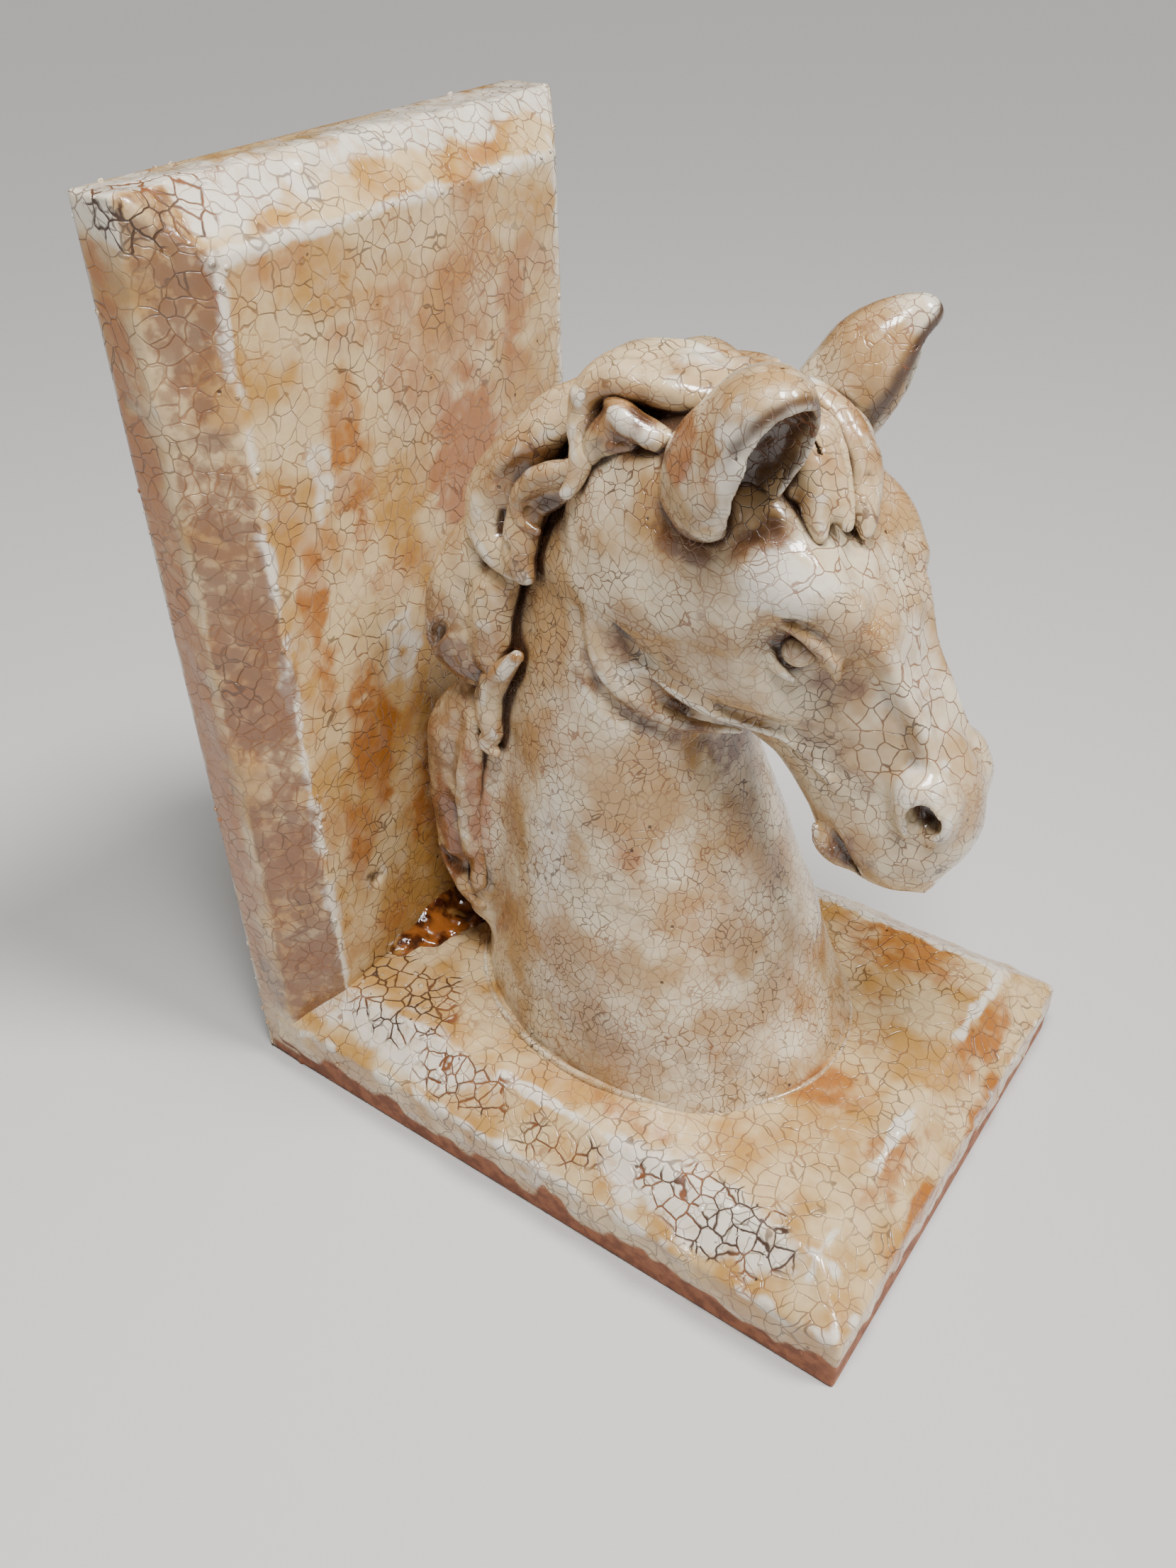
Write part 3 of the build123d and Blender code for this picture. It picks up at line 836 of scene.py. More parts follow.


# ---------------------------------------------------------------- stain and painted shade
CLOSE, WIDE = 1.6, 4.5             # how far round a point the clay is felt for, mm
PROBE = 0.5                        # how far off the surface it is felt from, mm
TIGHT_FOLD_SHADE, BROAD_FOLD_SHADE = (0.42, 0.62), (0.50,
                                        0.74)     # share of clay round a point, from no fold to a full one, for the painted shade in folds
CREST = (-0.335, -0.25)            # the same for a crest, turned round: the less clay, the sharper

# Spots where the glaze broke thin over the clay, ran thick or took the brown wash, and spots of painted
# shade: centre, radii, strength.
RUST = [
    ((21, 12, 134), (5, 17, 30), 1.0), ((21, -24, 146), (5, 9, 30), 0.7), ((21, -38, 118), (5, 6, 34), 0.75),
    ((21, -27, 84), (5, 11, 30), 0.9), ((21, -36, 62), (5, 9, 26), 0.7), ((21, 30, 160), (5, 9, 24), 0.7),
    ((21, 0, 60), (5, 26, 40), 0.9), ((21, 34, 110), (5, 20, 46), 0.8), ((20, 8, 26), (9, 20, 14), 1.0),
    ((127, -10, 22), (15, 11, 5), 0.7), ((146, -20, 19), (9, 22, 7), 0.6), ((148, 28, 18), (9, 26, 9), 0.75),
    ((158, 0, 14), (5, 60, 6), 0.8), ((122, 40, 22), (30, 14, 6), 0.6), ((96, -40, 23), (34, 5, 3), 0.5),
    ((3, -58, 110), (10, 7, 150), 0.8), ((87, -28, 78), (7, 8, 7), 0.5), ((106, -28, 60), (6, 10, 14), 0.4),
    ((33, -20, 56), (5, 8, 34), 0.8), ((44, -22, 70), (5, 8, 26), 0.7), ((97, -24, 167), (7, 8, 9), 0.8),
    ((84, -8, 172), (11, 9, 5), 0.5), ((105, 19, 166), (6, 8, 8), 0.6), ((100, 8, 96), (14, 12, 12), 0.6),
    ((92, 20, 150), (16, 12, 16), 0.5), ((60, 30, 60), (30, 20, 50), 0.5), ((128, 10, 112), (12, 8, 14), 0.4),
]
BROWN_WASH_AND_SHADE = [
    ((16, -51, 180), (7, 6, 28), 1.0), ((17, -51, 148), (7, 6, 24), 0.7), ((17, -50, 112), (7, 6, 32), 0.85),
    ((17, -50, 70), (7, 6, 38), 1.0), ((16, -51, 38), (7, 6, 18), 0.8), ((8, -56, 26), (9, 4, 12), 0.8),
    # Painted shade: the next two spots darken the groove behind the near cheek's rim.
    ((76, -21, 117), (6, 4, 9), 0.7), ((86, -18, 109), (8, 5, 5), 0.8),
    ((95, -22, 151), (12, 9, 6), 0.9), ((107, -17, 152), (10, 9, 6), 1.0), ((101, -23, 158), (8, 6, 6), 0.7),
    ((114, -17, 134), (9, 6, 6), 0.55), ((120, -13, 128), (8, 5, 10), 0.7),
    ((119, -12, 112), (8, 5, 7), 0.55),
    ((124, -10, 104), (9, 5, 7), 0.5), ((82, -20, 124), (5, 4, 8), 0.7), ((92, -15, 106), (12, 7, 6), 0.75),
    ((98, 0, 98), (11, 12, 12), 0.9), ((126, -9, 89), (9, 6, 6), 0.8), ((140, -8, 104), (5, 4, 5), 0.7),
    ((80, -30, 34), (34, 14, 15), 0.42), ((110, -26, 34), (16, 16, 14), 0.45),
    ((37, -18, 110), (18, 15, 20), 1.0), ((34, -19, 64), (10, 10, 40), 0.6),
    ((33, -19, 48), (8, 8, 7), 0.85), ((64, -20, 145), (8, 5, 9), 0.7), ((80, -19, 164), (9, 5, 5), 0.9),
    ((26, 0, 24), (9, 40, 6), 0.8), ((92, -27, 104), (9, 6, 18), 0.35), ((117, 21, 166), (5, 6, 9), 0.5),
]
WHITE = [
    ((113, -20, 146), (14, 8, 8), 1.0), ((138, -9, 109), (6, 6, 5), 1.0), ((66, -30, 78), (16, 10, 30), 0.55),
    ((106, -26, 88), (9, 9, 22), 0.5), ((118, -24, 70), (9, 16, 24), 0.5), ((88, -4, 175), (16, 9, 4), 0.7),
    ((108, -27, 168), (4, 5, 13), 0.9), ((40, -50, 20), (38, 10, 8), 0.8), ((118, -49, 20), (36, 10, 9), 0.9),
    ((21, -31, 146), (5, 5, 12), 0.7), ((21, -15, 102), (5, 9, 14), 0.7), ((130, 0, 122), (14, 12, 22), 0.5),
    ((12, -50, 197), (16, 60, 8), 0.9), ((12, 30, 199), (18, 90, 6), 0.8), ((116, 22, 174), (8, 8, 12), 0.6),
    ((86, -20, 118), (14, 4, 6), 0.6),
]
# Painted shade: dark spots in the ear hollows, the hollows and gaps of the mane, by the eye, nostril and
# mouth, under the jaw, at the neck's foot and at two small spots on the back slab.
SHADE_SPOTS = [
    ((109.5, -21.5, 169.5), (9, 9, 13), 1.0), ((107, -17, 154), (8, 7, 5), 0.8),
    ((81, -19, 165.5), (8, 4, 3.5), 0.9),
    ((75, -20, 160), (3, 4, 6), 0.6), ((64, -20.5, 146.5), (5, 4, 5), 0.85), ((56, -18, 149), (5, 4, 5), 0.5),
    ((37, -21, 110), (6, 5, 8), 0.6), ((46, -22, 104), (6, 5, 5), 0.8), ((34, -21, 50), (7, 4, 5), 0.9),
    ((114.5, -16, 132), (4, 3, 3), 0.55), ((141, -9, 104), (4, 4, 4), 0.85), ((125, -9, 88), (8, 5, 3), 0.8),
    ((96, -8, 101), (9, 7, 5), 0.7), ((33, -5, 24), (8, 26, 4), 0.6), ((115, 25, 170), (3, 5, 10), 0.7),
    ((21, 8, 164), (4, 2.2, 2.2), 0.6), ((21, -32, 47), (3, 2.5, 2.5), 0.9),
]
FLAKY = [
    ((34, -40, 21), (22, 16, 9), 1.0), ((60, -50, 19), (20, 9, 9), 0.8), ((124, -49, 20), (24, 11, 9), 1.0),
    ((12, -50, 196), (10, 16, 8), 0.8), ((88, -52, 18), (18, 6, 7), 0.5),
]
COARSE = [
    ((132, 0, 118), (26, 24, 26), 1.0), ((114, -6, 148), (18, 22, 14), 0.9),
    ((110, 22, 170), (12, 12, 18), 0.8),
    ((88, -6, 172), (24, 18, 8), 0.7), ((30, -38, 22), (16, 14, 8), 1.0),
]


def spots(points, marks):
    """How strongly the strongest of the marks covers each point, its edges broken up by chance."""
    ragged = points + 2.6 * np.stack([cloud(points, 5, 71 + k, 2) for k in range(3)], -1)
    cover = np.zeros(len(points))
    for centre, radii, strength in marks:
        cover = np.maximum(cover, strength * near_spot(ragged, centre, radii))
    return cover


def slab_marks(name, points, inset):
    """The back slab's near bevel, where the glaze is brown, and the thick pale glaze along every crease."""
    x, y, z = points.T
    across = np.abs(np.abs(y) - HALF_WIDTH + inset)
    if name == "glazed_back_slab":
        near_bevel = fade(-y, HALF_WIDTH - inset - 0.3, HALF_WIDTH - inset + 0.9) * fade(x, 10.5, 12.5)
        gap, front = np.minimum(across, np.abs(z - HEIGHT + inset)), fade(x, PANEL - 4, PANEL - 2)
    else:
        near_bevel = 0 * x
        gap, front = np.minimum(across, np.abs(x - FRONT + inset)), fade(z, PLATFORM - 4, PLATFORM - 2)
    ragged = gap + 0.9 * cloud(points, 4.5, 87, 2)
    return near_bevel, 0.85 * front * fade(-ragged, -1.7, -0.5) * fade(cloud(points, 15, 88), -0.5, 0.1)


def ear_hollow_shade(side, points, normals):
    """Painted shade inside an ear: what faces its mouth and lies under its rim."""
    at = ear_point(side)
    mouth = at(0, 1) - at(0, 0)
    return 0.95 * fade(normals @ mouth, 0.0, 0.5) * fade(-(points - at(0, 0)) @ mouth, -6.4, -3.6)


def blurred(solid, reach):
    """The grid averaged over a soft round reach, in grid steps."""
    steps = np.arange(-int(2.5 * reach), int(2.5 * reach) + 1)
    weights = np.exp(-0.5 * (steps / reach) ** 2)
    for axis in range(3):
        solid = sum(
            np.roll(solid, int(step), axis) * np.float32(weight)
            for step, weight in zip(steps, weights / weights.sum())
        )
    return solid


class Surroundings:
    """How full of clay the space round any point is: more in a fold, less on a crest."""

    def __init__(self):
        self.low = np.array((-12, -70, -12))
        axes = [np.arange(a, b, dtype=np.float32) for a, b in zip(self.low, (172, 70, 214))]
        solid = np.zeros([len(axis) for axis in axes], np.float32)
        for clay in PIECES.values():
            spans = [slice(*np.searchsorted(axis, (own[0], own[-1]))) for axis, own in zip(axes, clay.axes)]
            near = [
                np.round((axis[span] - own[0]) / clay.grain).astype(int).clip(0, len(own) - 1)
                for axis, span, own in zip(axes, spans, clay.axes)
            ]
            here = np.clip(0.5 - clay.field[np.ix_(*near)], 0, 1)
            solid[tuple(spans)] = np.maximum(solid[tuple(spans)], here)
        self.close, self.wide = blurred(solid, CLOSE), blurred(solid, WIDE)

    def at(self, grid, points):
        return between_cells(points - self.low, lambda cell: grid[tuple(cell.T)])


def on_vertices(piece, field, width):
    """The places or the normals of a piece's vertices, one row each."""
    values = np.empty(len(piece.data.vertices) * width, np.float32)
    getattr(piece.data, field).foreach_get("vector" if field == "vertex_normals" else "co", values)
    return values.reshape(-1, width).astype(float)


def write_attribute(piece, name, values):
    """Writes one share from 0 to 1 onto each vertex, for the materials and the trees to read."""
    attribute = piece.data.attributes.new(name, "FLOAT", "POINT")
    attribute.data.foreach_set("value", np.clip(values, 0, 1).astype(np.float32))


class BOOKEND_OT_stain_and_shade(bpy.types.Operator):
    """Write how deep in a fold each point is, for the painted shade, and how worn and how thickly glazed it
    is, onto the pieces
    """
    bl_idname = "bookend.stain"
    bl_label = "Stain and shade"

    def execute(self, context):
        around = Surroundings()
        for name in PIECES:
            piece = bpy.data.objects[name]
            points = on_vertices(piece, "vertices", 3) / MM - (BOOKS_FACE, 0, 0)
            normals = on_vertices(piece, "vertex_normals", 3)
            outside = points + normals * PROBE
            close, wide = around.at(around.close, outside), around.at(around.wide, outside)
            slab = name.endswith("_slab")
            wear = cloud(points, 17, 81, 3)
            # Painted shade: how deep a point lies in a fold or hollow, which the glazes darken; the shade
            # spots and ear hollows add painted shade too
            fold = 0.9 * fade(close, *TIGHT_FOLD_SHADE) + 0.8 * fade(wide, *BROAD_FOLD_SHADE)
            fold = np.maximum(fold * (0.2 + 0.8 * fade(points[:, 2], 23, 34)), spots(points, SHADE_SPOTS))
            if name.endswith("_ear"):
                fold = np.maximum(fold, ear_hollow_shade(-1 if "right" in name else 1, points, normals))
            else:
                fold = 0.86 * fold
            crest = fade(-close, *CREST)
            rust = np.maximum(spots(points, RUST), (0.5 if "back" in name else 0.32) * fade(wear, 0.05, 0.6))
            brown = np.maximum(spots(points, BROWN_WASH_AND_SHADE), 0.25 * fade(cloud(points, 12, 84, 3), 0.2, 0.8))
            white = np.maximum(spots(points, WHITE), 0.8 * crest * fade(cloud(points, 6, 86, 2), -0.4, 0.3))
            bare = 0 * fold
            if slab:
                near_bevel, crease = slab_marks(name, points, context.scene.bookend_slabs.inset)
                brown = np.maximum(brown, near_bevel * (0.85 + 0.6 * wear))
                white = np.maximum(white * (1 - 0.8 * near_bevel), crease)
            if name == "glazed_base_slab":
                edge = 7.0 + 2.2 * cloud(points * (1, 1, 0), 8, 31) + 1.0 * cloud(points * (1, 1, 0), 2.6, 32)
                bare = 1 - fade(points[:, 2] - edge, -0.5, 0.4)
            elif slab:
                bare = (1 - fade(points[:, 2], 3, 5)) * fade(points[:, 0], 1, 3)
            for key, values in (
                ("fold", fold), ("crest", crest), ("rust", rust * (1 - 0.7 * white)), ("brown", brown),
                ("white", white), ("coarse", spots(points, COARSE)), ("bare", bare),
                ("flaky", spots(points, FLAKY)),
            ):
                write_attribute(piece, key, values)
        return {"FINISHED"}


# ---------------------------------------------------------------- materials
def add_node(tree, kind, inputs=None, **settings):
    """Adds a node; each input is given either a value or another node's output."""
    node = tree.nodes.new(kind)
    for name, value in settings.items():
        setattr(node, name, value)
    for key, value in (inputs or {}).items():
        if isinstance(value, bpy.types.NodeSocket):
            tree.links.new(value, node.inputs[key])
        else:
            node.inputs[key].default_value = value
    return node


def new_material(name):
    """A material with an empty shader, its node tree and the shader."""
    material = bpy.data.materials.new(name)
    material.use_nodes = True
    return material, material.node_tree, material.node_tree.nodes["Principled BSDF"]


class Steps:
    """Short names for the node steps that the materials and the geometry trees share."""

    def __init__(self, tree):
        self.tree = tree

    def node(self, kind, inputs=None, output=0, **settings):
        """Adds a node, and gives the one output that is wanted from it."""
        return add_node(self.tree, kind, inputs, **settings).outputs[output]

    def math(self, operation, a, b=0.0):
        return self.node("ShaderNodeMath", {0: a, 1: b}, operation=operation)


class Mixer(Steps):
    """The few shader steps that every material here is made of."""

    def __init__(self, tree):
        super().__init__(tree)
        self.place = self.vector("MULTIPLY", self.node("ShaderNodeTexCoord", output="Object"),
                                 {1: (1 / MM,) * 3})

    def vector(self, operation, a, others):
        return self.node("ShaderNodeVectorMath", {0: a, **others}, operation=operation)

    def noise(self, size_mm, detail):
        inputs = {"Vector": self.place, "Scale": 1 / size_mm, "Detail": detail}
        return self.node("ShaderNodeTexNoise", inputs, "Color")

    def ramp(self, value, start, end, low=0.0, high=1.0):
        inputs = {0: value, 1: start, 2: end, 3: low, 4: high}
        return self.node("ShaderNodeMapRange", inputs, interpolation_type="SMOOTHSTEP")

    def mix(self, share, a, b):
        a, b = (linear(colour) if isinstance(colour, str) else colour for colour in (a, b))
        return self.node("ShaderNodeMix", {0: share, 6: a, 7: b}, 2, data_type="RGBA")

    def blend(self, share, a, b):
        return self.node("ShaderNodeMix", {0: share, 2: a, 3: b}, data_type="FLOAT")

    def attribute(self, name):
        return self.node("ShaderNodeAttribute", output="Fac", attribute_name=name)

    def warped(self, reach_mm, size_mm):
        """The place in millimetres, pushed about so that straight patterns bend."""
        push = self.vector("SUBTRACT", self.noise(size_mm, 2.0), {1: (0.5,) * 3})
        push = self.vector("SCALE", push, {"Scale": reach_mm})
        return self.vector("ADD", self.place, {1: push})

    def three(self, size_mm, detail):
        """Three unlike noises from one."""
        return add_node(self.tree, "ShaderNodeSeparateColor", {0: self.noise(size_mm, detail)}).outputs

    def cracks(self, cell_mm, vector):
        """How far each place is from the nearest crack, as a share of the cells' size."""
        inputs = {"Vector": vector, "Scale": 1 / cell_mm, "Randomness": 1.0}
        return self.node("ShaderNodeTexVoronoi", inputs, "Distance", feature="DISTANCE_TO_EDGE")

    def craze(self, gap, cell_mm, half_width_mm):
        """1 along the cracks, 0 on the glaze between them."""
        return self.ramp(gap, 0.35 * half_width_mm / cell_mm, 1.4 * half_width_mm / cell_mm, 1.0, 0.0)

    def bump(self, height, strength):
        return self.node("ShaderNodeBump", {"Height": height, "Distance": MM, "Strength": strength})


def crackle_glaze(name, fine_mm, coarse_mm, crack_mm, inked, pale, tan, rust, gloss):
    """Glossy ivory glaze with brown craze over terracotta, reading the stain and the fold depth written on
    the pieces, and painting shade into the folds.
    """
    material, tree, shader = new_material(name)
    m = Mixer(tree)
    drift, show, age = m.three(13, 3.0)
    mottle, streak, dots = m.three(2.8, 3.0)
    # The glaze itself: ivory where thick, tan where thin, so no two places are the same cream.
    base = m.mix(m.ramp(drift, 0.38, 0.62), pale, tan)
    base = m.mix(m.ramp(mottle, 0.45, 0.72, 0.0, 0.45), base, "#bb9a72")
    rusty = m.math("MULTIPLY", m.attribute("rust"), m.ramp(mottle, 0.3, 0.6, 0.75, 1.1))
    base = m.mix(m.ramp(rusty, 0.12, 0.8, 0.0, 0.9), base, rust)
    thick = m.math("MULTIPLY", m.attribute("white"), m.ramp(mottle, 0.35, 0.6, 0.7, 1.1))
    base = m.mix(m.ramp(thick, 0.1, 0.8, 0.0, 0.85), base, "#ddd5c5")
    # Brown wash, with painted shade along the groove behind the near cheek's rim.
    brown = m.math("MULTIPLY", m.attribute("brown"), m.ramp(streak, 0.36, 0.62, 0.6, 1.15))
    base = m.mix(m.ramp(brown, 0.1, 0.9, 0.0, 0.85), base, "#6a4126")
    # Painted shade: deep brown laid over the glaze where the fold attribute says the clay closes round a
    # point.
    base = m.mix(m.ramp(m.attribute("fold"), 0.1, 0.95, 0.0, 0.95), base, "#3a2113")
    # Craze: one net of bent cracks, coarser and wider on the face and where the glaze flaked.
    fine = m.craze(m.cracks(fine_mm, m.warped(1.6 * fine_mm, 2.2 * fine_mm)), fine_mm, crack_mm)
    net = m.cracks(coarse_mm, m.warped(0.5 * coarse_mm, coarse_mm))
    large = m.craze(net, coarse_mm, crack_mm * 1.3)
    flaked = m.ramp(m.attribute("flaky"), 0.15, 0.5)
    open_cracks = m.math("MULTIPLY", m.craze(net, coarse_mm, crack_mm * 1.5), flaked)
    fine = m.math("MULTIPLY", fine, m.ramp(show, 0.34, 0.6, 0.4, 1.0))
    lines = m.blend(m.ramp(m.attribute("coarse"), 0.3, 0.8), fine, large)
    lines = m.math("MAXIMUM", lines, m.math("MULTIPLY", large, m.ramp(age, 0.56, 0.66, 0.0, 0.7)))
    lines = m.math("MAXIMUM", lines, open_cracks)
    ink = m.mix(m.ramp(age, 0.4, 0.6), "#3f281a", "#7a4825")
    base = m.mix(m.math("MULTIPLY", lines, m.math("MAXIMUM", open_cracks, inked)), base, ink)
    # Pinholes: small dark specks where gas broke through the glaze.
    holes = m.node("ShaderNodeTexVoronoi", {"Vector": m.place, "Scale": 1 / 5.5}, "Distance")
    holes = m.math("MULTIPLY", m.ramp(holes, 0.045, 0.085, 1.0, 0.0), m.ramp(drift, 0.53, 0.58))
    base = m.mix(m.math("MULTIPLY", holes, 0.85), base, "#3a2010")
    # Bare terracotta along the foot: matt and orange-brown, with no craze at all.
    bare = m.attribute("bare")
    clay = m.mix(m.ramp(mottle, 0.38, 0.62), "#9c6243", "#7c4a33")
    tree.links.new(m.mix(bare, base, clay), shader.inputs["Base Color"])
    rough = m.math("ADD", m.ramp(dots, 0.35, 0.65, gloss, gloss + 0.14), m.math("MULTIPLY", lines, 0.25))
    tree.links.new(m.blend(bare, rough, 0.85), shader.inputs["Roughness"])
    tree.links.new(m.blend(bare, 0.55, 0.0), shader.inputs["Coat Weight"])
    shader.inputs["Coat Roughness"].default_value = 0.07
    shader.inputs["IOR"].default_value = 1.52
    # The surface: cracks pulled open a little, pinholes, and a low ripple that bends the highlights.
    height = m.math("MULTIPLY", lines, -0.12)
    height = m.math("SUBTRACT", height, m.math("MULTIPLY", open_cracks, 0.35))
    height = m.math("ADD", height, m.math("MULTIPLY", mottle, 0.16))
    height = m.math("SUBTRACT", height, m.math("MULTIPLY", holes, 0.25))
    bump = m.bump(height, 0.75)
    tree.links.new(bump, shader.inputs["Normal"])
    tree.links.new(bump, shader.inputs["Coat Normal"])
    return material


def pooled_glaze():
    """Thick amber-brown glass where the glaze pooled: clear, dark and very shiny."""
    material, tree, shader = new_material("Pooled amber glaze")
    m = Mixer(tree)
    drift, streak, dots = m.three(5, 3.0)
    base = m.mix(m.ramp(drift, 0.4, 0.6), "#3c180c", "#8a4f22")
    tree.links.new(m.mix(m.ramp(dots, 0.56, 0.66, 0.0, 0.45), base, "#c79a55"), shader.inputs["Base Color"])
    tree.links.new(m.bump(streak, 0.3), shader.inputs["Normal"])
    shader.inputs["Roughness"].default_value = 0.08
    shader.inputs["Coat Weight"].default_value = 0.8
    return material


class BOOKEND_OT_glaze(bpy.types.Operator):
    """Make the crackle glazes and put them on the pieces"""
    bl_idname = "bookend.glaze"
    bl_label = "Glaze"

    def execute(self, context):
        looks = {
            # thin over the body: fine dense craze in pinkish ivory
            "horse": crackle_glaze(
                "Crackle glaze, fine ivory", fine_mm=2.2, coarse_mm=3.9, crack_mm=0.08, inked=0.85,
                pale="#d3c2a3", tan="#a98659", rust="#97592a", gloss=0.15),
            # brushed over the hair: yellower, with rust in the folds
            "mane": crackle_glaze(
                "Crackle glaze, brushed mane", fine_mm=2.6, coarse_mm=3.8, crack_mm=0.09, inked=0.8,
                pale="#c8b18a", tan="#9a7347", rust="#8a5028", gloss=0.16),
            # poured over the slabs: long coarse craze, thin enough for the terracotta to show through
            "slab": crackle_glaze(
                "Crackle glaze, thin over slabs", fine_mm=3.5, coarse_mm=4.0, crack_mm=0.125, inked=0.72,
                pale="#d0b588", tan="#b18649", rust="#9a5b22", gloss=0.17),
        }
        for name in PIECES:
            kind = "slab" if "slab" in name else "mane" if name.removeprefix("glazed_") in LOCKS else "horse"
            mesh = bpy.data.objects[name].data
            mesh.materials.clear()
            mesh.materials.append(looks[kind])
        return {"FINISHED"}


# ---------------------------------------------------------------- the foot's bead, blisters and drips
def new_tree(name, **inputs):
    """A geometry tree with one named input per setting, and its group input node."""
    kinds = {float: "NodeSocketFloat", int: "NodeSocketInt", str: "NodeSocketString"}
    tree = bpy.data.node_groups.new(name, "GeometryNodeTree")
    tree.interface.new_socket("Geometry", in_out="INPUT", socket_type="NodeSocketGeometry")
    for label, value in inputs.items():
        kind = kinds.get(type(value), "NodeSocketMaterial")
        tree.interface.new_socket(label.replace("_", " "), in_out="INPUT", socket_type=kind)
    tree.interface.new_socket("Geometry", in_out="OUTPUT", socket_type="NodeSocketGeometry")
    return tree, add_node(tree, "NodeGroupInput").outputs


def finish_tree(tree, geometry, material):
    """Ends a tree in real geometry that carries the material."""
    whole = add_node(tree, "GeometryNodeRealizeInstances", {0: geometry}).outputs[0]
    done = add_node(tree, "GeometryNodeSetMaterial", {"Geometry": whole, "Material": material}).outputs[0]
    add_node(tree, "NodeGroupOutput", {0: done})


def bake(name, tree, carrier_mesh, **values):
    """Runs a tree on a carrier mesh, and keeps what comes out as a plain mesh object."""
    carrier = bpy.data.objects.new(name + "_carrier", carrier_mesh)
    bpy.context.scene.collection.objects.link(carrier)
    modifier = carrier.modifiers.new("tree", "NODES")
    modifier.node_group = tree
    for socket in tree.interface.items_tree:
        key = socket.name.replace(" ", "_")
        if key in values:
            modifier[socket.identifier] = values[key]
    mesh = bpy.data.meshes.new_from_object(carrier.evaluated_get(bpy.context.evaluated_depsgraph_get()))
    carrier.modifiers.remove(modifier)
    bpy.data.objects.remove(carrier)
    if not mesh.polygons:
        raise RuntimeError(f"{name}: the tree made nothing")
    mesh.name = name
    mesh.shade_smooth()
    piece = bpy.data.objects.new(name, mesh)
    bpy.context.scene.collection.objects.link(piece)
    print(f"{name}: {len(mesh.polygons)} faces")
    return piece


def bead_tree(values):
    """A wavering bead of glaze that follows an oval."""
    tree, given = new_tree("Bead round the foot", **values)
    t = Steps(tree)
    oval = t.node("GeometryNodeCurvePrimitiveCircle", {"Resolution": 360, "Radius": 1.0})
    x, y, z = add_node(tree, "ShaderNodeSeparateXYZ", {0: t.node("GeometryNodeInputPosition")}).outputs
    wave = t.node("ShaderNodeTexNoise", {"Scale": 9.0, "Detail": 2.0}, "Fac")
    thick = t.math("MULTIPLY", t.math("POWER", wave, 1.5), given["Thickness"])
    along = t.math("ADD", t.math("MULTIPLY", x, given["Half length"]), given["Middle"])
    across = t.math("MULTIPLY", y, given["Half width"])
    place = t.node("ShaderNodeCombineXYZ", {0: along, 1: across, 2: given["Height"]})
    oval = t.node("GeometryNodeSetPosition", {"Geometry": oval, "Position": place})
    ring = t.node("GeometryNodeCurvePrimitiveCircle", {"Resolution": 10, "Radius": 1.0})
    bead = t.node("GeometryNodeCurveToMesh", {"Curve": oval, "Profile Curve": ring, "Scale": thick})
    finish_tree(tree, bead, given["Material"])
    return tree


def lumps_tree(values):
    """Small lumps of glaze strewn where a written mask is strong, each lying on the surface."""
    tree, given = new_tree("Strewn lumps of glaze", **values)
    t = Steps(tree)
    mask = t.node("GeometryNodeInputNamedAttribute", {"Name": given["Mask"]}, "Attribute", data_type="FLOAT")
    over, under = (
        t.node("FunctionNodeCompare", {0: mask, 1: given[bound]}, data_type="FLOAT", operation=operation)
        for bound, operation in (("Least", "GREATER_THAN"), ("Most", "LESS_THAN"))
    )
    points = add_node(tree, "GeometryNodeDistributePointsOnFaces", {
        "Mesh": given["Geometry"], "Selection": t.node("FunctionNodeBooleanMath", {0: over, 1: under}),
        "Density": given["Density"], "Seed": given["Seed"],
    }).outputs
    limits = {2: given["Smallest"], 3: given["Largest"], "Seed": given["Seed"]}
    wide = t.node("FunctionNodeRandomValue", limits, 1, data_type="FLOAT")
    scale = t.node("ShaderNodeCombineXYZ", {0: wide, 1: wide, 2: t.math("MULTIPLY", wide, given["Flatness"])})
    lumps = t.node("GeometryNodeInstanceOnPoints", {
        "Points": points["Points"], "Rotation": points["Rotation"], "Scale": scale,
        "Instance": t.node("GeometryNodeMeshIcoSphere", {"Radius": 1.0, "Subdivisions": 2}),
    })
    finish_tree(tree, lumps, given["Material"])
    return tree


def model_pool(settings):
    """Glaze that ran down behind the neck and pooled in the corner of the two slabs."""
    clay = Clay((17, -36, 19), (42, 24, 30), settings.fine_grain)
    for x, y, z, radii in (
        (24, -17, 22.8, (6.5, 9, 1.6)), (27, -6, 22.6, (7.5, 9, 1.4)), (22, -26, 23.0, (3.6, 6, 2.4)),
        (26, 8, 22.6, (6, 9, 1.3)), (20.5, -14, 24, (2.6, 8, 3.6)), (20.5, 2, 24, (2.4, 10, 3.2)),
    ):
        clay.add(ball((x, y, z), radii, (1, 0, 0), (0, 1, 0)), 2.5)
    clay.dress(lambda points: 0.35 * cloud(points, 3.4, 97) + 0.2 * cloud(points, 1.6, 98))
    return clay


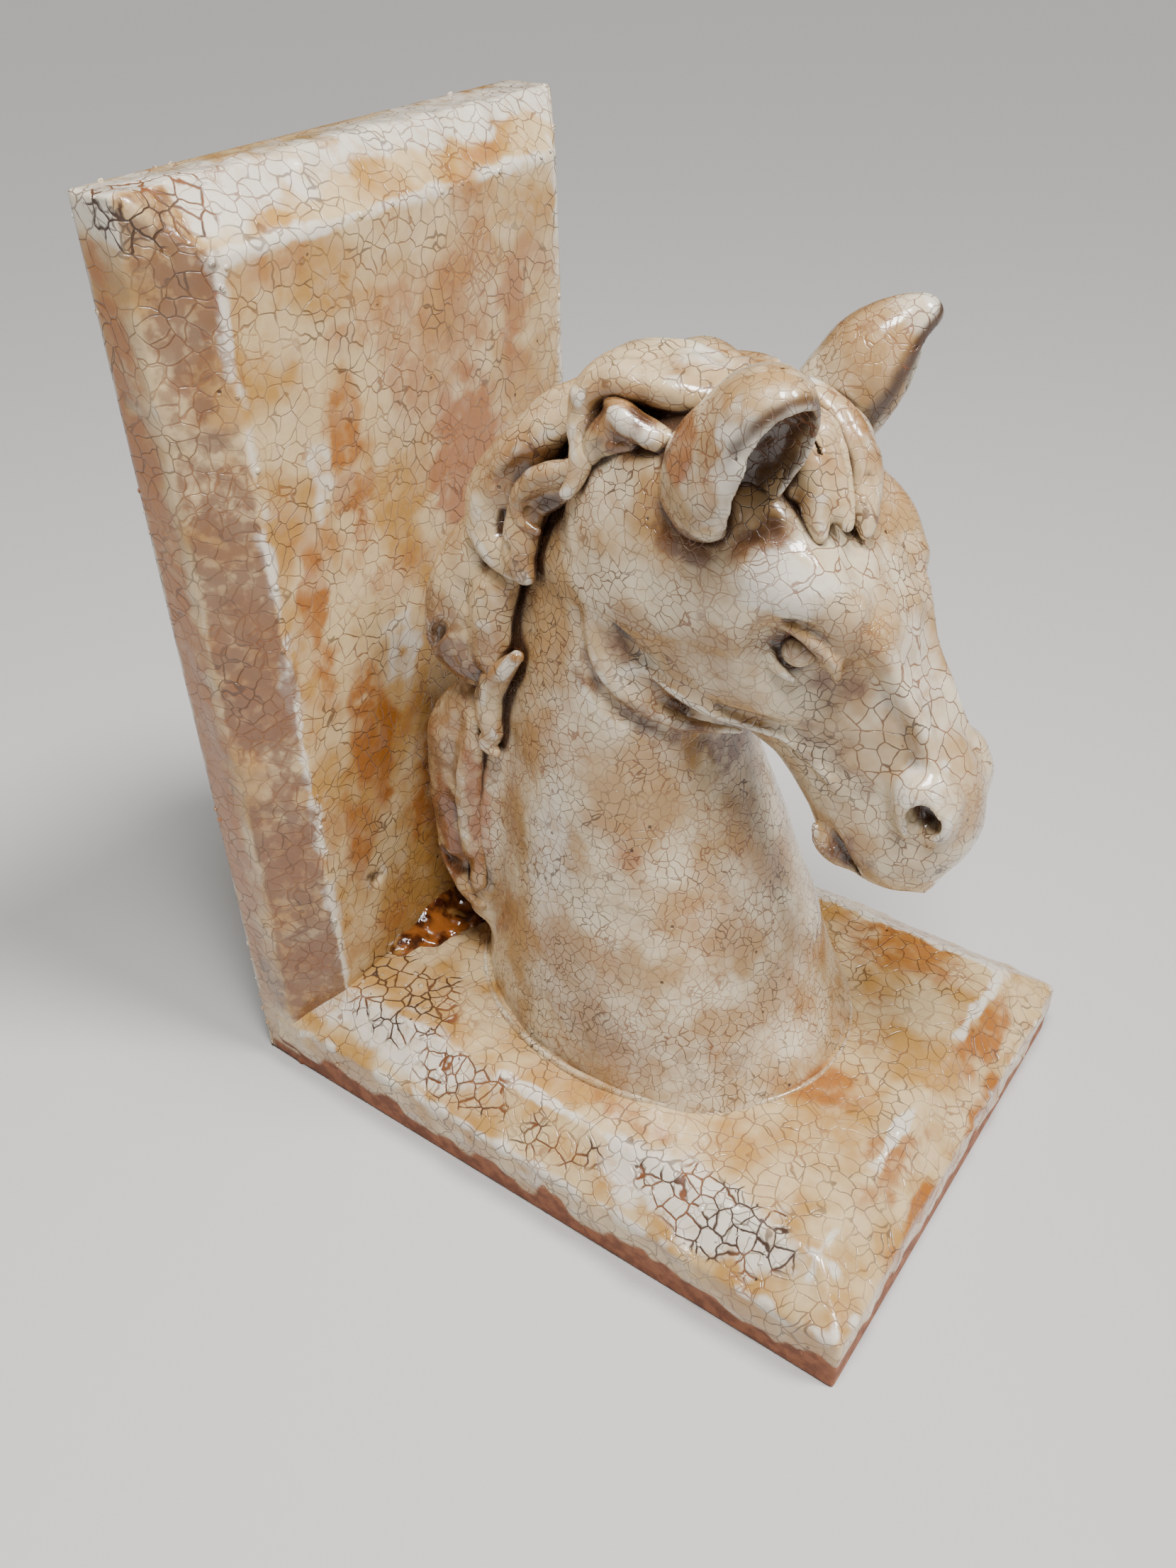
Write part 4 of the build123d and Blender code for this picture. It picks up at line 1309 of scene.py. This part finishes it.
class BOOKEND_OT_glaze_runs(bpy.types.Operator):
    """Lay the bead round the neck's foot, the pool in the corner, and the blisters and drips of the glaze"""
    bl_idname = "bookend.glaze_runs"
    bl_label = "Glaze runs"

    def execute(self, context):
        settings = context.scene.bookend_runs
        glaze = bpy.data.materials["Crackle glaze, fine ivory"]
        pool = settle(skin("glaze_pool", model_pool(context.scene.bookend_horse)), "slab_glaze")
        pool.data.materials.append(pooled_glaze())
        empty = bpy.data.meshes.new("empty")
        bead = dict(
            Half_length=45.9 * MM, Half_width=36.7 * MM, Middle=(79.7 + BOOKS_FACE) * MM,
            Height=(PLATFORM + 0.2) * MM, Thickness=settings.bead * MM, Material=glaze,
        )
        settle(bake("foot_bead", bead_tree(bead), empty, **bead), "horse_glaze", "neck_coil")
        for name, on, values in (
            ("edge_blisters", "glazed_back_slab",
             dict(Mask="crest", Least=0.6, Most=2.0, Density=1.0, Flatness=0.55)),
            ("base_blisters", "glazed_base_slab",
             dict(Mask="flaky", Least=0.5, Most=2.0, Density=0.55, Flatness=0.4)),
            ("base_drips", "glazed_base_slab",
             dict(Mask="bare", Least=0.2, Most=0.8, Density=1.6, Flatness=0.5)),
        ):
            values.update(
                Density=values["Density"] * settings.blisters, Seed=settings.seed, Material=glaze,
                Smallest=settings.smallest * MM, Largest=settings.largest * MM,
            )
            settle(bake(name, lumps_tree(values), bpy.data.objects[on].data, **values), "slab_glaze")
        return {"FINISHED"}


# ---------------------------------------------------------------- stage
CAMERA_PLACE = (198.89, -190.82, 248.63)     # on the stand, mm
CAMERA_AIM = (-0.47312, 0.64436, -0.60079)
CAMERA_ROLL = -1.361


class BOOKEND_OT_stage(bpy.types.Operator):
    """Set the camera, the pale floor and the soft studio lights"""
    bl_idname = "bookend.stage"
    bl_label = "Stage"

    def execute(self, context):
        scene = context.scene
        settings = scene.bookend_studio
        camera = bpy.data.objects.new("camera", bpy.data.cameras.new("camera"))
        camera.data.lens = settings.lens
        camera.data.clip_start = 0.01
        aim = Vector(CAMERA_AIM)
        roll = Matrix.Rotation(radians(CAMERA_ROLL), 4, "Z")
        turn = aim.to_track_quat("-Z", "Y").to_matrix().to_4x4() @ roll
        place = (Vector(CAMERA_PLACE) + Vector((BOOKS_FACE, 0, 0))) * MM
        camera.matrix_world = Matrix.Translation(place) @ turn
        scene.collection.objects.link(camera)
        scene.camera = camera
        floor_mesh = bpy.data.meshes.new("floor")
        floor_mesh.from_pydata([(-3, -3, 0), (3, -3, 0), (3, 3, 0), (-3, 3, 0)], [], [(0, 1, 2, 3)])
        floor = bpy.data.objects.new("floor", floor_mesh)
        scene.collection.objects.link(floor)
        paper = bpy.data.materials.new("Matt paper sweep")
        paper.use_nodes = True
        shader = paper.node_tree.nodes["Principled BSDF"]
        shader.inputs["Base Color"].default_value = linear("#c9c7c4")
        shader.inputs["Roughness"].default_value = 0.75
        floor_mesh.materials.append(paper)
        for name, place, kind, extent, power in (
            ("sun through cloth", (0.48, 0.16, 0.85), "SUN", radians(16), settings.sun),
            ("window", (0.10, -0.16, 0.62), "AREA", 0.16, settings.key),
            ("fill", (0.75, -0.55, 0.35), "AREA", 0.5, settings.fill),
        ):
            light = bpy.data.objects.new(name, bpy.data.lights.new(name, kind))
            setattr(light.data, "angle" if kind == "SUN" else "size", extent)
            light.data.energy = power
            light.location = place
            aim = Vector((0, 0, 0.09)) - Vector(place)
            light.rotation_euler = aim.to_track_quat("-Z", "Y").to_euler()
            scene.collection.objects.link(light)
        world = bpy.data.worlds.new("studio")
        world.use_nodes = True
        world.node_tree.nodes["Background"].inputs["Strength"].default_value = settings.sky
        scene.world = world
        return {"FINISHED"}


# ---------------------------------------------------------------- the add-on
OPERATORS = (
    BOOKEND_OT_slabs, BOOKEND_OT_horse, BOOKEND_OT_features, BOOKEND_OT_mane, BOOKEND_OT_stain_and_shade,
    BOOKEND_OT_glaze,
    BOOKEND_OT_glaze_runs, BOOKEND_OT_stage,
)


class BOOKEND_PT_panel(bpy.types.Panel):
    """The steps that make the book end, in order"""
    bl_idname = "BOOKEND_PT_panel"
    bl_label = "Book end"
    bl_space_type = "VIEW_3D"
    bl_region_type = "UI"
    bl_category = "Book end"

    def draw(self, context):
        for operator in OPERATORS:
            self.layout.operator(operator.bl_idname)


SETTINGS = {
    "bookend_slabs": SlabSettings, "bookend_horse": HorseSettings, "bookend_runs": RunSettings,
    "bookend_studio": StudioSettings,
}


def register():
    for cls in (*SETTINGS.values(), *OPERATORS, BOOKEND_PT_panel):
        bpy.utils.register_class(cls)
    for name, cls in SETTINGS.items():
        setattr(bpy.types.Scene, name, PointerProperty(type=cls))


def unregister():
    for name in SETTINGS:
        delattr(bpy.types.Scene, name)
    for cls in (BOOKEND_PT_panel, *reversed(OPERATORS), *reversed(SETTINGS.values())):
        bpy.utils.unregister_class(cls)


def main():
    register()
    for operator in OPERATORS:
        step = operator.bl_idname.split(".")[1]
        getattr(bpy.ops.bookend, step)()


if __name__ == "__main__":
    main()
